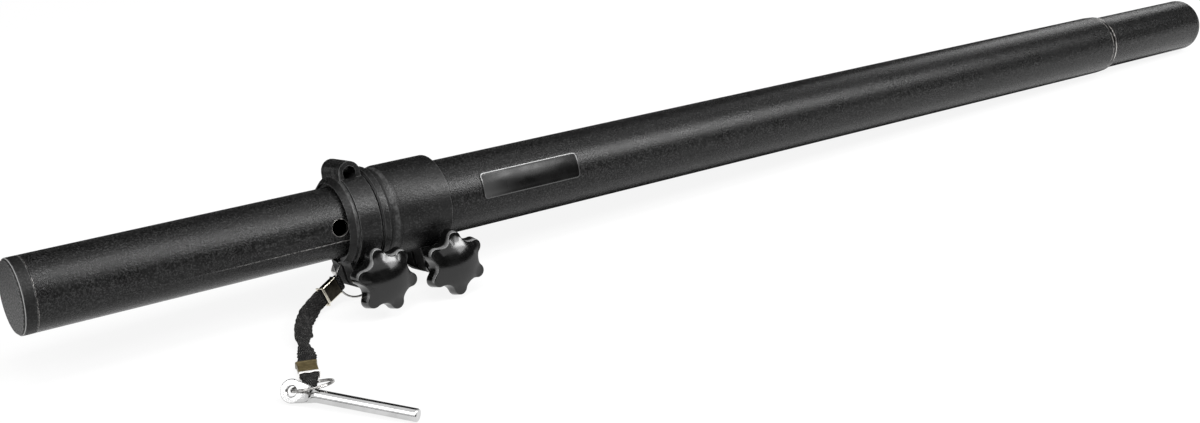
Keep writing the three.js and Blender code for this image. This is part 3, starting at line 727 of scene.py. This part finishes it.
# The corners of an oblong, as quarter turns of a unit circle: side, side, angle
def quarterTurns(steps):
    for corner, (x, y) in enumerate(((1, 1), (-1, 1), (-1, -1), (1, -1))):
        for step in range(steps + 1):
            yield corner, step, x, y, (corner + step / steps) * math.pi / 2


# A cosine or sine raised to a power, with its sign kept
def signedPower(value, power):
    return math.copysign(abs(value) ** power, value)


# Tubes, clamps and fastenings: merged, smooth-shaded copies of their CAD nodes
dressing = {"mergeGap": 0.005, "sharpAngle": 30}
dressedPieces = [
    # node, name, material, slot
    ("outer_tube", "outerTube", "outerTubeCoat", "powder_coat"),
    ("foot_tube", "footTube", "outerTubeCoat", "powder_coat"),
    ("inner_tube", "innerTube", "innerTubeCoat", "powder_coat"),
    ("top_cap", "topCap", "capNylon", "cap_plastic"),
    ("guide_plug", "guidePlug", "clampNylon", "clamp_plastic"),
    ("guide_bush", "guideBush", "clampNylon", "clamp_plastic"),
    ("front_clamp", "frontClamp", "clampNylon", "clamp_plastic"),
    ("rear_clamp", "rearClamp", "clampNylon", "clamp_plastic"),
    ("front_stud", "frontStud", "zincPlating", "zinc_plate"),
    ("rear_stud", "rearStud", "zincPlating", "zinc_plate"),
    ("front_nut", "frontNut", "zincPlating", "zinc_plate"),
    ("rear_nut", "rearNut", "zincPlating", "zinc_plate"),
    ("front_washer", "frontWasher", "blackZinc", "zinc_plate"),
    ("rear_washer", "rearWasher", "blackZinc", "zinc_plate"),
]
bodyOf = {node: nodes[node]["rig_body"] for node in nodes}

for node, name, material, slot in dressedPieces:
    bm = bmesh.new()
    bm.from_mesh(nodes[node].data)
    bmesh.ops.remove_doubles(bm, verts=bm.verts, dist=dressing["mergeGap"] * mm)
    finished(bm, name, material, bodyOf[node], node, dressing["sharpAngle"])
print("tubes, clamps and fastenings dressed")


# Knobs
knobShape = {
    "lobes": 6,
    "tipRadius": 17.0,
    "lobeRadius": 3.7,
    "valleyRadius": 12.6,
    "hubRadius": 8.0,
    "hubFrom": 12.6,
    "back": 23.0,
    "backInset": 3.0,
    "rim": 30.0,
    "domeRadius": 12.8,
    "domeHeight": 4.0,
    "domeInsets": (0.4, 0.9, 1.5),
    "domeCircles": (10.2, 9.4, 8.4, 7.2, 5.8, 4.2, 2.4, 0.9),
    "blend": 0.06,
    "lobeFall": 0.012,
    "edgeRound": 0.6,
    "backSteps": 3,
    "rimSteps": 4,
    "rimHighlightShare": 0.3,
    "draft": 1.0,
    "steps": 144,
    "sharpAngle": 50,
}
knobPlaces = {
    # node, place of the stud along and below the pole, turn
    "frontKnob": ("front_knob", (165.8, 27.2), 14.3),
    "rearKnob": ("rear_knob", (204.6, 28.3), 30.0),
}


# The knob's outline: lobe arcs joined by hollow arcs
def lobedRadius(v, angle):
    pitch = 2 * math.pi / v["lobes"]
    away = abs((angle + pitch / 2) % pitch - pitch / 2)
    lobe, tip = v["lobeRadius"], v["tipRadius"] - v["lobeRadius"]
    short = lobe - v["valleyRadius"]
    half = math.cos(pitch / 2)
    far = (tip**2 - short**2) / (2 * (short + tip * half))
    hollow = far - v["valleyRadius"]
    share = lobe / (lobe + hollow)
    meetX = tip + share * (far * half - tip)
    meetY = share * far * math.sin(pitch / 2)
    if away < math.atan2(meetY, meetX):
        return tip * math.cos(away) + math.sqrt(lobe**2 - (tip * math.sin(away)) ** 2)
    off = pitch / 2 - away
    return far * math.cos(off) - math.sqrt(hollow**2 - (far * math.sin(off)) ** 2)


# The face's height over the rim: a dome that runs out softly into the lobes
def knobFace(v, radius):
    ball = (v["domeRadius"] ** 2 + v["domeHeight"] ** 2) / (2 * v["domeHeight"])
    rise = math.sqrt(ball**2 - radius**2) - (ball - v["domeHeight"])
    fall = v["lobeFall"] * max(0.0, radius - v["domeRadius"]) ** 2
    return (rise + math.sqrt(rise**2 + v["blend"])) / 2 - fall


# Each level: how far in from the outline or how wide a circle, its height, and whether the face is there
def knobLevels(v):
    r = v["edgeRound"]
    levels = [("circle", v["hubRadius"], v["hubFrom"], 0), ("circle", v["hubRadius"], v["back"], 0)]
    levels += [("outline", v["backInset"], v["back"], 0), ("outline", r, v["back"], 0)]
    for step in range(1, v["backSteps"] + 1):
        a = step / v["backSteps"] * math.pi / 2
        levels.append(("outline", r * (1 - math.sin(a)), v["back"] + r * (1 - math.cos(a)), 0))
    levels.append(("outline", 0.0, (v["back"] + v["rim"]) / 2, 0))
    for step in range(v["rimSteps"] + 1):
        a = step / v["rimSteps"] * math.pi / 2
        levels.append(("outline", r * (1 - math.cos(a)), v["rim"] - r + r * math.sin(a), 1))
    levels += [("outline", r + inset, v["rim"], 1) for inset in v["domeInsets"]]
    levels += [("circle", radius, v["rim"], 1) for radius in v["domeCircles"]]
    return levels


def makeKnob(v, name, node, stud, turn):
    bm = bmesh.new()
    wear = bm.verts.layers.float.new("wear")
    loop, angles = firstLoop(bm, v["steps"])

    def setLevel(verts, level):
        kind, amount, height, face = level
        # the outer part of the rim's rounding is marked in the wear layer, for the painted highlight
        onRim = kind == "outline" and face and amount < v["rimHighlightShare"] * v["edgeRound"]
        draft = v["draft"] * (height - v["back"]) / (v["rim"] - v["back"])
        for vert, angle in zip(verts, angles):
            radius = lobedRadius(v, angle) - amount - draft if kind == "outline" else amount
            depth = height + face * knobFace(v, radius)
            vert.co = Vector((radius * math.cos(angle), -depth, -radius * math.sin(angle)))
            vert[wear] = 1.0 if onRim else 0.0

    loft(bm, loop, knobLevels(v), setLevel)
    bmesh.ops.recalc_face_normals(bm, faces=bm.faces)
    along, below = stud
    local = Matrix.Translation((along, 0, -below)) @ Matrix.Rotation(math.radians(turn), 4, "Y")
    place = poleFrame @ local
    finished(bm, name, "knobGloss", bodyOf[node], node, v["sharpAngle"], place)


for name, (node, stud, turn) in knobPlaces.items():
    makeKnob(knobShape, name, node, stud, turn)
print("knobs made")


# Split rings: two turns of wire
ringShape = {
    "wire": 0.48,
    "wireSteps": 10,
    "pitch": 0.98,
    "turns": 1.94,
    "steps": 128,
    "inset": 0.05,
    "sharpAngle": 50,
}
upperRing = {"radius": 10.9, "place": (163.4, 0.0, -28.75)}  # mm, along the pole's axes
lowerRing = {"radius": 9.95, "reach": 9.05, "hold": {"heading": 256, "pitch": 23.384, "lean": 94.9}}


def makeRing(v, name, node, radius, place):
    bm = bmesh.new()
    made = bmesh.ops.create_circle(bm, cap_ends=True, segments=v["wireSteps"], radius=v["wire"])
    upright = Matrix.Rotation(math.pi / 2, 3, "X")
    bmesh.ops.rotate(bm, verts=made["verts"], cent=(0, 0, 0), matrix=upright)
    start = (radius - v["wire"] - v["inset"], 0, -v["pitch"] * v["turns"] / 4)
    bmesh.ops.translate(bm, verts=made["verts"], vec=start)
    steps = int(v["steps"] * v["turns"])
    bmesh.ops.spin(
        bm, geom=bm.faces[:], cent=(0, 0, 0), axis=(0, 0, 1),
        dvec=(0, 0, v["pitch"] * v["turns"] / 2 / steps),
        angle=2 * math.pi * v["turns"], steps=steps, use_merge=False,
    )
    bmesh.ops.recalc_face_normals(bm, faces=bm.faces)
    bmesh.ops.rotate(bm, verts=bm.verts, cent=(0, 0, 0), matrix=upright.transposed())
    finished(bm, name, "ringWire", bodyOf[node], node, v["sharpAngle"], place)


upperRingPlace = poleFrame @ Matrix.Translation(upperRing["place"])
makeRing(ringShape, "upperRing", "upper_split_ring", upperRing["radius"], upperRingPlace)
eyePlace = jointPlace("pin_swing")
lowerRingTurn = heldFrame((0, 0, 0), **lowerRing["hold"])
lowerRingCentre = eyePlace - lowerRingTurn @ Vector((0, 0, lowerRing["reach"]))
lowerRingPlace = Matrix.Translation(lowerRingCentre) @ lowerRingTurn
makeRing(ringShape, "lowerRing", "lower_split_ring", lowerRing["radius"], lowerRingPlace)
print("rings made")


# Strap
upperHold = {"heading": 200.7, "pitch": -15.8, "lean": -74.8}
lowerHold = {"heading": 71, "pitch": -2.0926, "lean": 0}
upperFrame = heldFrame(jointPlace("leash_swing"), **upperHold)
lowerFrame = heldFrame(jointPlace("lower_ring_swing"), **lowerHold)
strapShape = {
    "width": 9.0,
    "thickness": 1.1,
    "crimped": 8.2,
    "run": 57.2,
    "heading": 234.7,
    "floorGap": 0.15,
    "crimpLength": 9.8,
    "steps": 6,  # sections between two stations
    "around": 28,
    "edgePower": 0.45,
    "facePower": 0.75,
    "sharpAngle": 60,
    # along, to the left, lean, width and lift shares
    "stations": [
        (0.056, -0.033, 0.94, 1, 2.3), (0.125, -0.06, 0.88, 1, 1.3), (0.212, -0.086, 0.8, 1, 0.55),
        (0.287, -0.102, 0.71, 1, 0.15), (0.389, -0.106, 0.62, 0.98, 0), (0.485, -0.104, 0.56, 0.96, 0),
        (0.574, -0.094, 0.48, 0.92, 0), (0.645, -0.075, 0.37, 0.9, 0), (0.708, -0.054, 0.28, 0.9, 0.1),
        (0.785, -0.032, 0.19, 0.93, 0.4), (0.877, -0.013, 0.09, 0.98, 0.9),
    ],
    "bulgeEnd": 0.75,
    "bulgeWidth": 0.12,
    "bulgeThickness": 0.7,
    "mouth": 0.3,
    "upperShares": (1.8, 1.5),  # of the thickness, inside the crimp and at its mouth
    "lowerShares": (1.0, 1.2),
    "wireRadius": 0.9,
    "wireGap": 0.3,
    "foldInside": 4.0,
    "foldMouth": 0.4,
    "neckFrom": 4.0,  # a shorter fold has no neck
    "foldTurns": 8,
    "foldSteps": 2,
    "upperFold": {"reach": 1.6, "width": 7.4, "offset": 0.0},
    "lowerFold": {"reach": 8.0, "width": 5.6, "offset": 0.8},
    "neck": [(0.66, 0.75), (0.33, 0.9)],  # shares of the reach, and of the thickness or the fold's radius
    "tail": [(-2, 1), (0.5, 1), (3, 1), (5.4, 0.98), (5.9, 0.97)],  # past the crimp, share of the width
    "tailDrop": -0.62,
    "tailThickness": 0.9,
}
strapCreases = {
    "across": (0.2, 1.3, 2.0, 0.37),  # depth, waves along and across, and slow waves
    "through": (0.16, 1.9, 3.0),
    # edge, height, place and reach of each lump
    "lumps": [(1, 1.2, 30, 2.2), (1, -1.5, 41, 4.0), (1, -0.5, 22, 3.0), (-1, 0.9, 44, 3.0)],
    # the gathered folds above the lower crimp
    "gather": (51, 4.5),
    "gatherThrough": (0.5, 2.4, 1.2),
    "gatherAcross": (0.4, 2.2, 1.0),
}


def heading(angle):
    turn = math.radians(angle)
    return Vector((math.cos(turn), math.sin(turn), 0))


def frameSection(place, x, z, width, thickness, flip=1):
    turn = place.to_3x3().normalized()
    return {
        "centre": (place @ Vector((x, 0, z))) / mm,
        "across": turn @ Vector((0, flip, 0)),
        "through": turn @ Vector((0, 0, 1)),
        "width": width,
        "thickness": thickness,
    }


# The strap between its crimps: it leans over as it leaves the upper one, and lies on the floor
def strapSections(v):
    upperX = v["upperFold"]["reach"] + v["crimpLength"]
    lowerX = v["lowerFold"]["reach"] + v["crimpLength"]
    start = (upperFrame @ Vector((upperX, 0, 0))) / mm
    end = (lowerFrame @ Vector((lowerX, 0, 0))) / mm
    forward, left, up = heading(v["heading"]), heading(v["heading"] + 90), Vector((0, 0, 1))
    places = [start + (forward * station[0] + left * station[1]) * v["run"] for station in v["stations"]]
    line = [start, *places, end]
    free = []
    for i, (along, _, leanShare, widthShare, lift) in enumerate(v["stations"]):
        travel = line[i + 2] - line[i]
        travel.z = 0
        travel.normalize()
        lean = math.radians(upperHold["lean"] * leanShare)
        across = up.cross(travel) * math.cos(lean) + up * math.sin(lean)
        middle = math.sin(math.pi * min(1.0, along / v["bulgeEnd"]))
        width = v["width"] * widthShare * (1 + v["bulgeWidth"] * middle)
        thickness = v["thickness"] * (1 + v["bulgeThickness"] * middle)
        centre = line[i + 1].copy()
        centre.z = v["floorGap"] + abs(math.sin(lean)) * width / 2
        centre.z += math.cos(lean) * thickness / 2 + lift * v["thickness"]
        free.append({
            "centre": centre, "across": across, "through": travel.cross(across),
            "width": width, "thickness": thickness,
        })
    t = v["thickness"]
    upperThick, lowerThick = [[share * t for share in v[end]] for end in ("upperShares", "lowerShares")]
    return [
        frameSection(upperFrame, upperX - 2 * t, 0.0, v["crimped"], upperThick[0]),
        frameSection(upperFrame, upperX + v["mouth"], 0.0, v["crimped"], upperThick[1]),
        *free,
        frameSection(lowerFrame, lowerX + v["mouth"], t / 2, v["crimped"], lowerThick[1], -1),
        frameSection(lowerFrame, lowerX - 2 * t, t / 2, v["crimped"], lowerThick[0], -1),
    ]


# A smooth value from b to c
def between(a, b, c, d, t):
    return 0.5 * ((2 * b) + (c - a) * t + (2 * a - 5 * b + 4 * c - d) * t**2 + (3 * b - a - 3 * c + d) * t**3)


def finerSections(sections, steps):
    finer = []
    last = len(sections) - 1
    for i in range(last):
        four = [sections[max(0, min(last, i + k))] for k in (-1, 0, 1, 2)]
        for step in range(steps):
            section = {key: between(*(s[key] for s in four), step / steps) for key in sections[0]}
            section["across"] = section["across"].normalized()
            section["through"] = section["through"].normalized()
            finer.append(section)
    finer.append(sections[-1])
    return finer


# A band with rounded edges through the sections, with its own weave map in millimetres
def sweepStrap(bm, v, sections, swell=None):
    weave = bm.loops.layers.uv.get("weave") or bm.loops.layers.uv.new("weave")
    loop, angles = firstLoop(bm, v["around"])
    where = {}

    def setStation(verts, station):
        section, travelled = station
        for vert, angle in zip(verts, angles):
            c, s = math.cos(angle), math.sin(angle)
            side = signedPower(c, v["edgePower"]) * section["width"] / 2
            face = signedPower(s, v["facePower"]) * section["thickness"] / 2
            shift = swell(travelled, side / section["width"] * 2) if swell else (0, 0)
            across = section["across"] * (side + shift[0])
            vert.co = section["centre"] + across + section["through"] * (face + shift[1])
            where[vert] = (side if s >= 0 else 2 * section["width"] - side, travelled)

    stations = [(sections[0], 0.0)]
    for section in sections[1:]:
        before, travelled = stations[-1]
        stations.append((section, travelled + (section["centre"] - before["centre"]).length))
    loft(bm, loop, stations, setStation)
    for face in bm.faces:
        for corner in face.loops:
            if corner.vert in where:
                corner[weave].uv = where[corner.vert]


# The loop round the ring's wire, from inside the crimp and back
def foldSections(place, v, fold):
    t, reach = v["thickness"], fold["reach"]
    radius = v["wireRadius"] + v["wireGap"] + t / 2
    inside, mouth = reach + v["foldInside"], reach + v["foldMouth"]
    neck = []
    if reach > v["neckFrom"]:
        (farShare, thicknessShare), (nearShare, radiusShare) = v["neck"]
        neck = [(reach * farShare, t * thicknessShare), (reach * nearShare, radius * radiusShare)]
    path = [(inside, t / 2), (mouth, t / 2), *neck]
    for step in range(v["foldTurns"] + 1):
        a = math.pi / 2 + math.pi * step / v["foldTurns"]
        path.append((radius * math.cos(a), radius * math.sin(a)))
    path += [(x, -z) for x, z in reversed(neck)]
    path += [(mouth, -t / 2), (inside, -t / 2)]
    turn = place.to_3x3().normalized()
    sections = []
    for i, (x, z) in enumerate(path):
        before, after = path[max(0, i - 1)], path[min(len(path) - 1, i + 1)]
        along = Vector((after[0] - before[0], 0, after[1] - before[1])).normalized()
        share = max(0.0, min(1.0, x / reach))
        offset = fold["offset"] * (1 - share)
        sections.append({
            "centre": (place @ Vector((x, offset, z))) / mm,
            "across": turn @ Vector((0, 1, 0)),
            "through": turn @ along.cross(Vector((0, 1, 0))),
            "width": fold["width"] + (v["crimped"] - fold["width"]) * share,
            "thickness": t,
        })
    return sections


def hump(value, centre, width):
    return math.exp(-(((value - centre) / width) ** 2))


# Small creases, lumps on the edges, and the gathered folds: how far across and through the strap
def strapSwell(travelled, side):
    v = strapCreases
    depth, along, over, slow = v["across"]
    across = depth * math.sin(travelled * along + over * side) * math.sin(travelled * slow)
    depth, along, over = v["through"]
    through = depth * math.sin(travelled * along + over * side)
    for edge, height, centre, width in v["lumps"]:
        across += max(0.0, edge * side) ** 2 * height * hump(travelled, centre, width)
    gather = hump(travelled, *v["gather"])
    depth, along, over = v["gatherThrough"]
    through += gather * depth * math.sin(travelled * along + over * side)
    depth, along, phase = v["gatherAcross"]
    across += gather * depth * side * math.sin(travelled * along + phase)
    return across, through


def makeStrap(v):
    bm = bmesh.new()
    sweepStrap(bm, v, finerSections(strapSections(v), v["steps"]), strapSwell)
    for place, fold in ((upperFrame, v["upperFold"]), (lowerFrame, v["lowerFold"])):
        sweepStrap(bm, v, finerSections(foldSections(place, v, fold), v["foldSteps"]))
    end = v["lowerFold"]["reach"] + v["crimpLength"]
    tail = [
        frameSection(lowerFrame, end + x, v["tailDrop"], v["crimped"] * share, v["tailThickness"], -1)
        for x, share in v["tail"]
    ]
    sweepStrap(bm, v, finerSections(tail, v["foldSteps"]))
    bmesh.ops.recalc_face_normals(bm, faces=bm.faces)
    place = Matrix.Scale(mm, 4)
    finished(bm, "leashStrap", "strapWebbing", "leash", "strap", v["sharpAngle"], place)


makeStrap(strapShape)
print("strap made")


# Crimps
crimpShape = {
    "length": strapShape["crimpLength"],
    "width": 9.3,
    "height": 3.3,
    "bend": 0.75,
    "wall": 0.4,
    "flare": 0.35,
    "flareReach": 0.8,
    "slack": 0.01,
    "scallopReach": 1.0,
    "wearReach": 1.0,
    "cornerSteps": 4,
    "wornCorner": (0.3, 0.8),
    "sideSteps": 12,
    "stations": (0, 0.035, 0.08, 0.2, 0.35, 0.5, 0.65, 0.8, 0.92, 0.965, 1),
    "sharpAngle": 60,
}
upperCrimp = {
    "reach": strapShape["upperFold"]["reach"],
    "extra": 0.0,
    "scallop": 0.0,
    "nearWear": 0.0,
    "farWear": 1.0,
    "cornerWear": 0.8,
    "farFlare": 2.0,
}
lowerCrimp = {
    "reach": strapShape["lowerFold"]["reach"],
    "extra": 1.4,
    "scallop": 0.9,
    "nearWear": 1.0,
    "farWear": 0.0,
    "cornerWear": 0.2,
    "farFlare": 1.0,
}


# Across and height of each point of the sleeve's section, and how far it is round a corner
def crimpOutline(v):
    straightWidth, straightHeight = v["width"] / 2 - v["bend"], v["height"] / 2 - v["bend"]
    outline = []
    for corner, step, y, z, a in quarterTurns(v["cornerSteps"]):
        share = step / v["cornerSteps"]
        outline.append((
            y * straightWidth + v["bend"] * math.cos(a), z * straightHeight + v["bend"] * math.sin(a),
            share if corner in (0, 2) else 1 - share,
        ))
        if step == v["cornerSteps"] and corner in (0, 2):
            for k in range(1, v["sideSteps"]):
                side = y * straightWidth * (1 - 2 * k / v["sideSteps"])
                outline.append((side, z * v["height"] / 2, 0.0))
    return outline


def makeCrimp(v, own, name, node, material, place):
    length = v["length"] + own["extra"]
    halfWidth = v["width"] / 2
    bm = bmesh.new()
    wear = bm.verts.layers.float.new("wear")
    outline = crimpOutline(v)
    loop, _ = firstLoop(bm, len(outline))
    cornerFrom, cornerTo = v["wornCorner"]

    def setStation(verts, x):
        far = x > length / 2
        fromEnd = min(x, length - x)
        flare = v["flare"] * (own["farFlare"] if far else 1) * max(0.0, 1 - fromEnd / v["flareReach"]) ** 2
        ends = own["farWear" if far else "nearWear"] if fromEnd < v["wearReach"] else 0.0
        scallop = own["scallop"] * max(0.0, 1 - x / v["scallopReach"])
        for vert, (y, z, corner) in zip(verts, outline):
            shift = scallop * (abs(math.cos(math.pi * y / halfWidth)) - 0.5)
            onSide = abs(y) > halfWidth - v["bend"] - v["slack"]
            vert.co = Vector((
                own["reach"] + x - shift, y + math.copysign(flare, y) * onSide, z + math.copysign(flare, z),
            ))
            vert[wear] = max(own["cornerWear"] if cornerFrom < corner < cornerTo else 0.0, ends)

    loft(bm, loop, [length * share for share in v["stations"]], setStation, solid=False)
    bmesh.ops.recalc_face_normals(bm, faces=bm.faces)
    middle = Vector((own["reach"] + v["length"] / 2, 0, 0))
    if sum(face.normal.dot(face.calc_center_median() - middle) for face in bm.faces) < 0:
        bmesh.ops.reverse_faces(bm, faces=bm.faces)
    piece = finished(bm, name, material, "leash", node, v["sharpAngle"], place)
    wall = piece.modifiers.new("wall", "SOLIDIFY")
    wall.thickness = v["wall"] * mm
    wall.offset = -1


makeCrimp(crimpShape, upperCrimp, "upperCrimp", "upper_crimp", "upperCrimpMetal", upperFrame)
makeCrimp(crimpShape, lowerCrimp, "lowerCrimp", "lower_crimp", "lowerCrimpMetal", lowerFrame)
print("crimps made")


# Locking pin
pinShape = {
    "hold": {"heading": -52.1, "pitch": -2.1199, "lean": 57},
    "eyeRadius": 5.4,
    "holeRadius": 2.4,
    "thickness": 2.4,
    "eyeBevel": 0.45,
    "eyeSteps": 72,
    "mergeGap": 0.01,
    "around": 48,
    "sharpAngle": 25,
    # along, half width, half thickness and squareness of the blade and shaft
    "sections": [
        (2.5, 4.95, 1.14, 0.28), (3.6, 4.75, 1.16, 0.28), (5.0, 4.46, 1.18, 0.28), (6.6, 4.14, 1.2, 0.3),
        (7.8, 3.9, 1.3, 0.36), (8.6, 3.74, 1.7, 0.5), (9.6, 3.52, 2.3, 0.7), (10.6, 3.28, 2.8, 0.9),
        (11.6, 3.08, 3.0, 1.0), (12.4, 3.0, 3.0, 1.0), (30, 3.0, 3.0, 1.0), (58.1, 3.0, 3.0, 1.0),
        (58.5, 2.95, 2.95, 1.0), (58.85, 2.75, 2.75, 1.0), (59.0, 2.45, 2.45, 1.0),
    ],
}


def makePin(v):
    bm = bmesh.new()
    halfThick, bevel = v["thickness"] / 2, v["eyeBevel"]
    profile = [
        (v["holeRadius"], halfThick - bevel), (v["holeRadius"] + bevel, halfThick),
        (v["eyeRadius"] - bevel, halfThick), (v["eyeRadius"], halfThick - bevel),
    ]
    profile += [(x, -z) for x, z in reversed(profile)]
    verts = [bm.verts.new((x, 0, z)) for x, z in profile]
    edges = [bm.edges.new((verts[i - 1], verts[i])) for i in range(len(verts))]
    bmesh.ops.spin(
        bm, geom=verts + edges, cent=(0, 0, 0), axis=(0, 0, 1), angle=2 * math.pi,
        steps=v["eyeSteps"], use_merge=True,
    )
    bmesh.ops.remove_doubles(bm, verts=bm.verts, dist=v["mergeGap"])
    loop, angles = firstLoop(bm, v["around"])

    def setSection(verts, section):
        x, width, thick, power = section
        for vert, angle in zip(verts, angles):
            side, face = signedPower(math.cos(angle), power), signedPower(math.sin(angle), power)
            vert.co = Vector((x, side * width, face * thick))

    loft(bm, loop, v["sections"], setSection)
    bmesh.ops.recalc_face_normals(bm, faces=bm.faces)
    place = heldFrame(eyePlace, **v["hold"])
    finished(bm, "lockingPin", "pinChrome", "pin", "locking_pin", v["sharpAngle"], place)


makePin(pinShape)
print("pin made")


# Name plate: a flat plate with a raised border, bent round the tube
plateShape = {
    "start": 231.0,
    "length": 59.0,
    "width": 13.2,
    "thickness": 0.4,
    "corner": 2.0,
    "cornerSteps": 6,
    "angle": -12.3,
    "border": 0.4,
    "raised": 0.1,
    "slope": 0.2,
    "tubeRadius": 19.2,
    "gap": 0.15,
    "cuts": 12,
    "sharpAngle": 35,
}


def makePlate(v):
    bm = bmesh.new()
    wear = bm.verts.layers.float.new("wear")
    halfLength, halfWidth, corner = v["length"] / 2, v["width"] / 2, v["corner"]
    verts = [
        bm.verts.new((
            x * (halfLength - corner) + corner * math.cos(a), y * (halfWidth - corner) + corner * math.sin(a), 0,
        ))
        for _, _, x, y, a in quarterTurns(v["cornerSteps"])
    ]
    made = bmesh.ops.extrude_face_region(bm, geom=[bm.faces.new(verts)])
    raised = [item for item in made["geom"] if isinstance(item, bmesh.types.BMVert)]
    bmesh.ops.translate(bm, verts=raised, vec=(0, 0, v["thickness"] + v["raised"]))
    face = next(item for item in made["geom"] if isinstance(item, bmesh.types.BMFace))
    for width, depth in ((v["border"], 0.0), (v["slope"], -v["raised"])):
        bmesh.ops.inset_individual(bm, faces=[face], thickness=width, depth=depth, use_even_offset=True)
    inner = set(face.verts)
    for vert in bm.verts:
        vert[wear] = 0.0 if vert in inner else 1.0
    for k in range(1, v["cuts"]):
        y = -halfWidth + v["width"] * k / v["cuts"]
        everything = bm.verts[:] + bm.edges[:] + bm.faces[:]
        bmesh.ops.bisect_plane(bm, geom=everything, plane_co=(0, y, 0), plane_no=(0, 1, 0))
    for vert in bm.verts:
        x, y, z = vert.co
        radius = v["tubeRadius"] + v["gap"] + z
        a = math.radians(v["angle"]) + y / v["tubeRadius"]
        vert.co = Vector((v["start"] + halfLength + x, -radius * math.cos(a), -radius * math.sin(a)))
    bmesh.ops.recalc_face_normals(bm, faces=bm.faces)
    angle = v["sharpAngle"]
    finished(bm, "namePlate", "plateGloss", "outer_pole", "name_plate", angle, poleFrame)


makePlate(plateShape)
print("plate made")


# White where the camera, a gloss or a clear ray looks
def whiteFor(tree):
    path = add(tree, "ShaderNodeLightPath").outputs
    seen = calc(tree, "MAXIMUM", path["Is Camera Ray"], path["Is Glossy Ray"])
    return calc(tree, "MAXIMUM", seen, path["Is Transmission Ray"])


worldLook = {"fill": 0.35, "white": 1.0}


def makeWorld(v):
    world = bpy.data.worlds.new("studio")
    bpy.context.scene.world = world
    world.use_nodes = True
    tree = world.node_tree
    tree.nodes.clear()
    plain = add(tree, "ShaderNodeBackground", {"Color": grey(1.0), "Strength": v["fill"]})
    white = add(tree, "ShaderNodeBackground", {"Color": grey(1.0), "Strength": v["white"]})
    mix = add(tree, "ShaderNodeMixShader", {0: whiteFor(tree), 1: plain.outputs[0], 2: white.outputs[0]})
    shown(tree, mix, "ShaderNodeOutputWorld")


floorLook = {"size": 6.0, "steps": 64, "colour": 0.86, "white": 1.0, "whiteShare": 0.88}


def makeFloor(v):
    bm = bmesh.new()
    bmesh.ops.create_circle(bm, cap_ends=True, segments=v["steps"], radius=v["size"])
    made, tree = newMaterial("paperFloor")
    matte = add(tree, "ShaderNodeBsdfDiffuse", {"Color": grey(v["colour"])})
    glow = add(tree, "ShaderNodeEmission", {"Color": grey(1.0), "Strength": v["white"]})
    share = times(tree, whiteFor(tree), v["whiteShare"])
    mix = add(tree, "ShaderNodeMixShader", {0: share, 1: matte.outputs[0], 2: glow.outputs[0]})
    shown(tree, mix)
    floor = newObject(bm, "floor", made)


# Dark cards stand and lie round the set, and show only in glossy surfaces
cards = {
    "darkLevel": 0.02,
    "places": [
        # centre, size, and turn about z if it stands
        ((0.3, 2.2, 2.0), (7.0, 3.9), 0),
        ((0.4, -2.6, 0.9), (6.4, 1.6), 0),
        ((-2.2, -1.0, 0.11), (3.4, 0.22), 90),
        ((3.2, -0.2, 1.7), (5.0, 3.2), 90),
        ((0.3, 1.18, 0.004), (6.0, 2.05), None),
        ((0.18, 0.13, 0.005), (0.84, 0.18), None),
    ],
}


def makeCards(v):
    made, tree = newMaterial("darkCard")
    glow = add(tree, "ShaderNodeEmission", {"Color": grey(v["darkLevel"]), "Strength": 1.0})
    shown(tree, glow)
    for i, (centre, size, turn) in enumerate(v["places"]):
        bm = bmesh.new()
        bmesh.ops.create_grid(bm, x_segments=1, y_segments=1, size=0.5)
        bmesh.ops.scale(bm, vec=(*size, 1), verts=bm.verts)
        if turn is not None:
            bmesh.ops.rotate(bm, verts=bm.verts, matrix=Matrix.Rotation(math.pi / 2, 3, "X"))
            bmesh.ops.rotate(bm, verts=bm.verts, matrix=Matrix.Rotation(math.radians(turn), 3, "Z"))
        bmesh.ops.translate(bm, verts=bm.verts, vec=centre)
        card = newObject(bm, f"darkCard{i}", made)
        card.visible_camera = False
        card.visible_diffuse = False
        card.visible_transmission = False
        card.visible_shadow = False


lamps = {
    # name: place, aim, size, power
    "overheadLeft": ((-0.3, -0.42, 1.4), (-0.3, 0.0, 0.05), (1.2, 0.36), 15),
    "overheadRight": ((0.95, -0.88, 1.25), (0.95, 0.0, 0.05), (1.3, 0.4), 20),
    "frontRight": ((0.87, -0.96, 1.09), (-0.25, 0.0, 0.0), (1.0, 0.75), 12),
    "backRight": ((1.6, 0.79, 0.56), (0.4, 0.05, 0.05), (0.5, 0.5), 2),
    "left": ((-1.5, -0.42, 1.25), (-0.1, 0.0, 0.05), (1.1, 0.9), 12),
}


def makeLamps(v):
    for name, (place, aim, size, power) in v.items():
        data = bpy.data.lights.new(name, "AREA")
        data.shape = "RECTANGLE"
        data.size, data.size_y = size
        data.energy = power
        lamp = linked(name, data)
        lamp.location = place
        lamp.rotation_euler = (Vector(aim) - Vector(place)).to_track_quat("-Z", "Y").to_euler()
        lamp.visible_camera = False


makeWorld(worldLook)
makeFloor(floorLook)
makeCards(cards)
makeLamps(lamps)
bpy.context.scene.view_settings.view_transform = "Standard"
print("floor and light set")
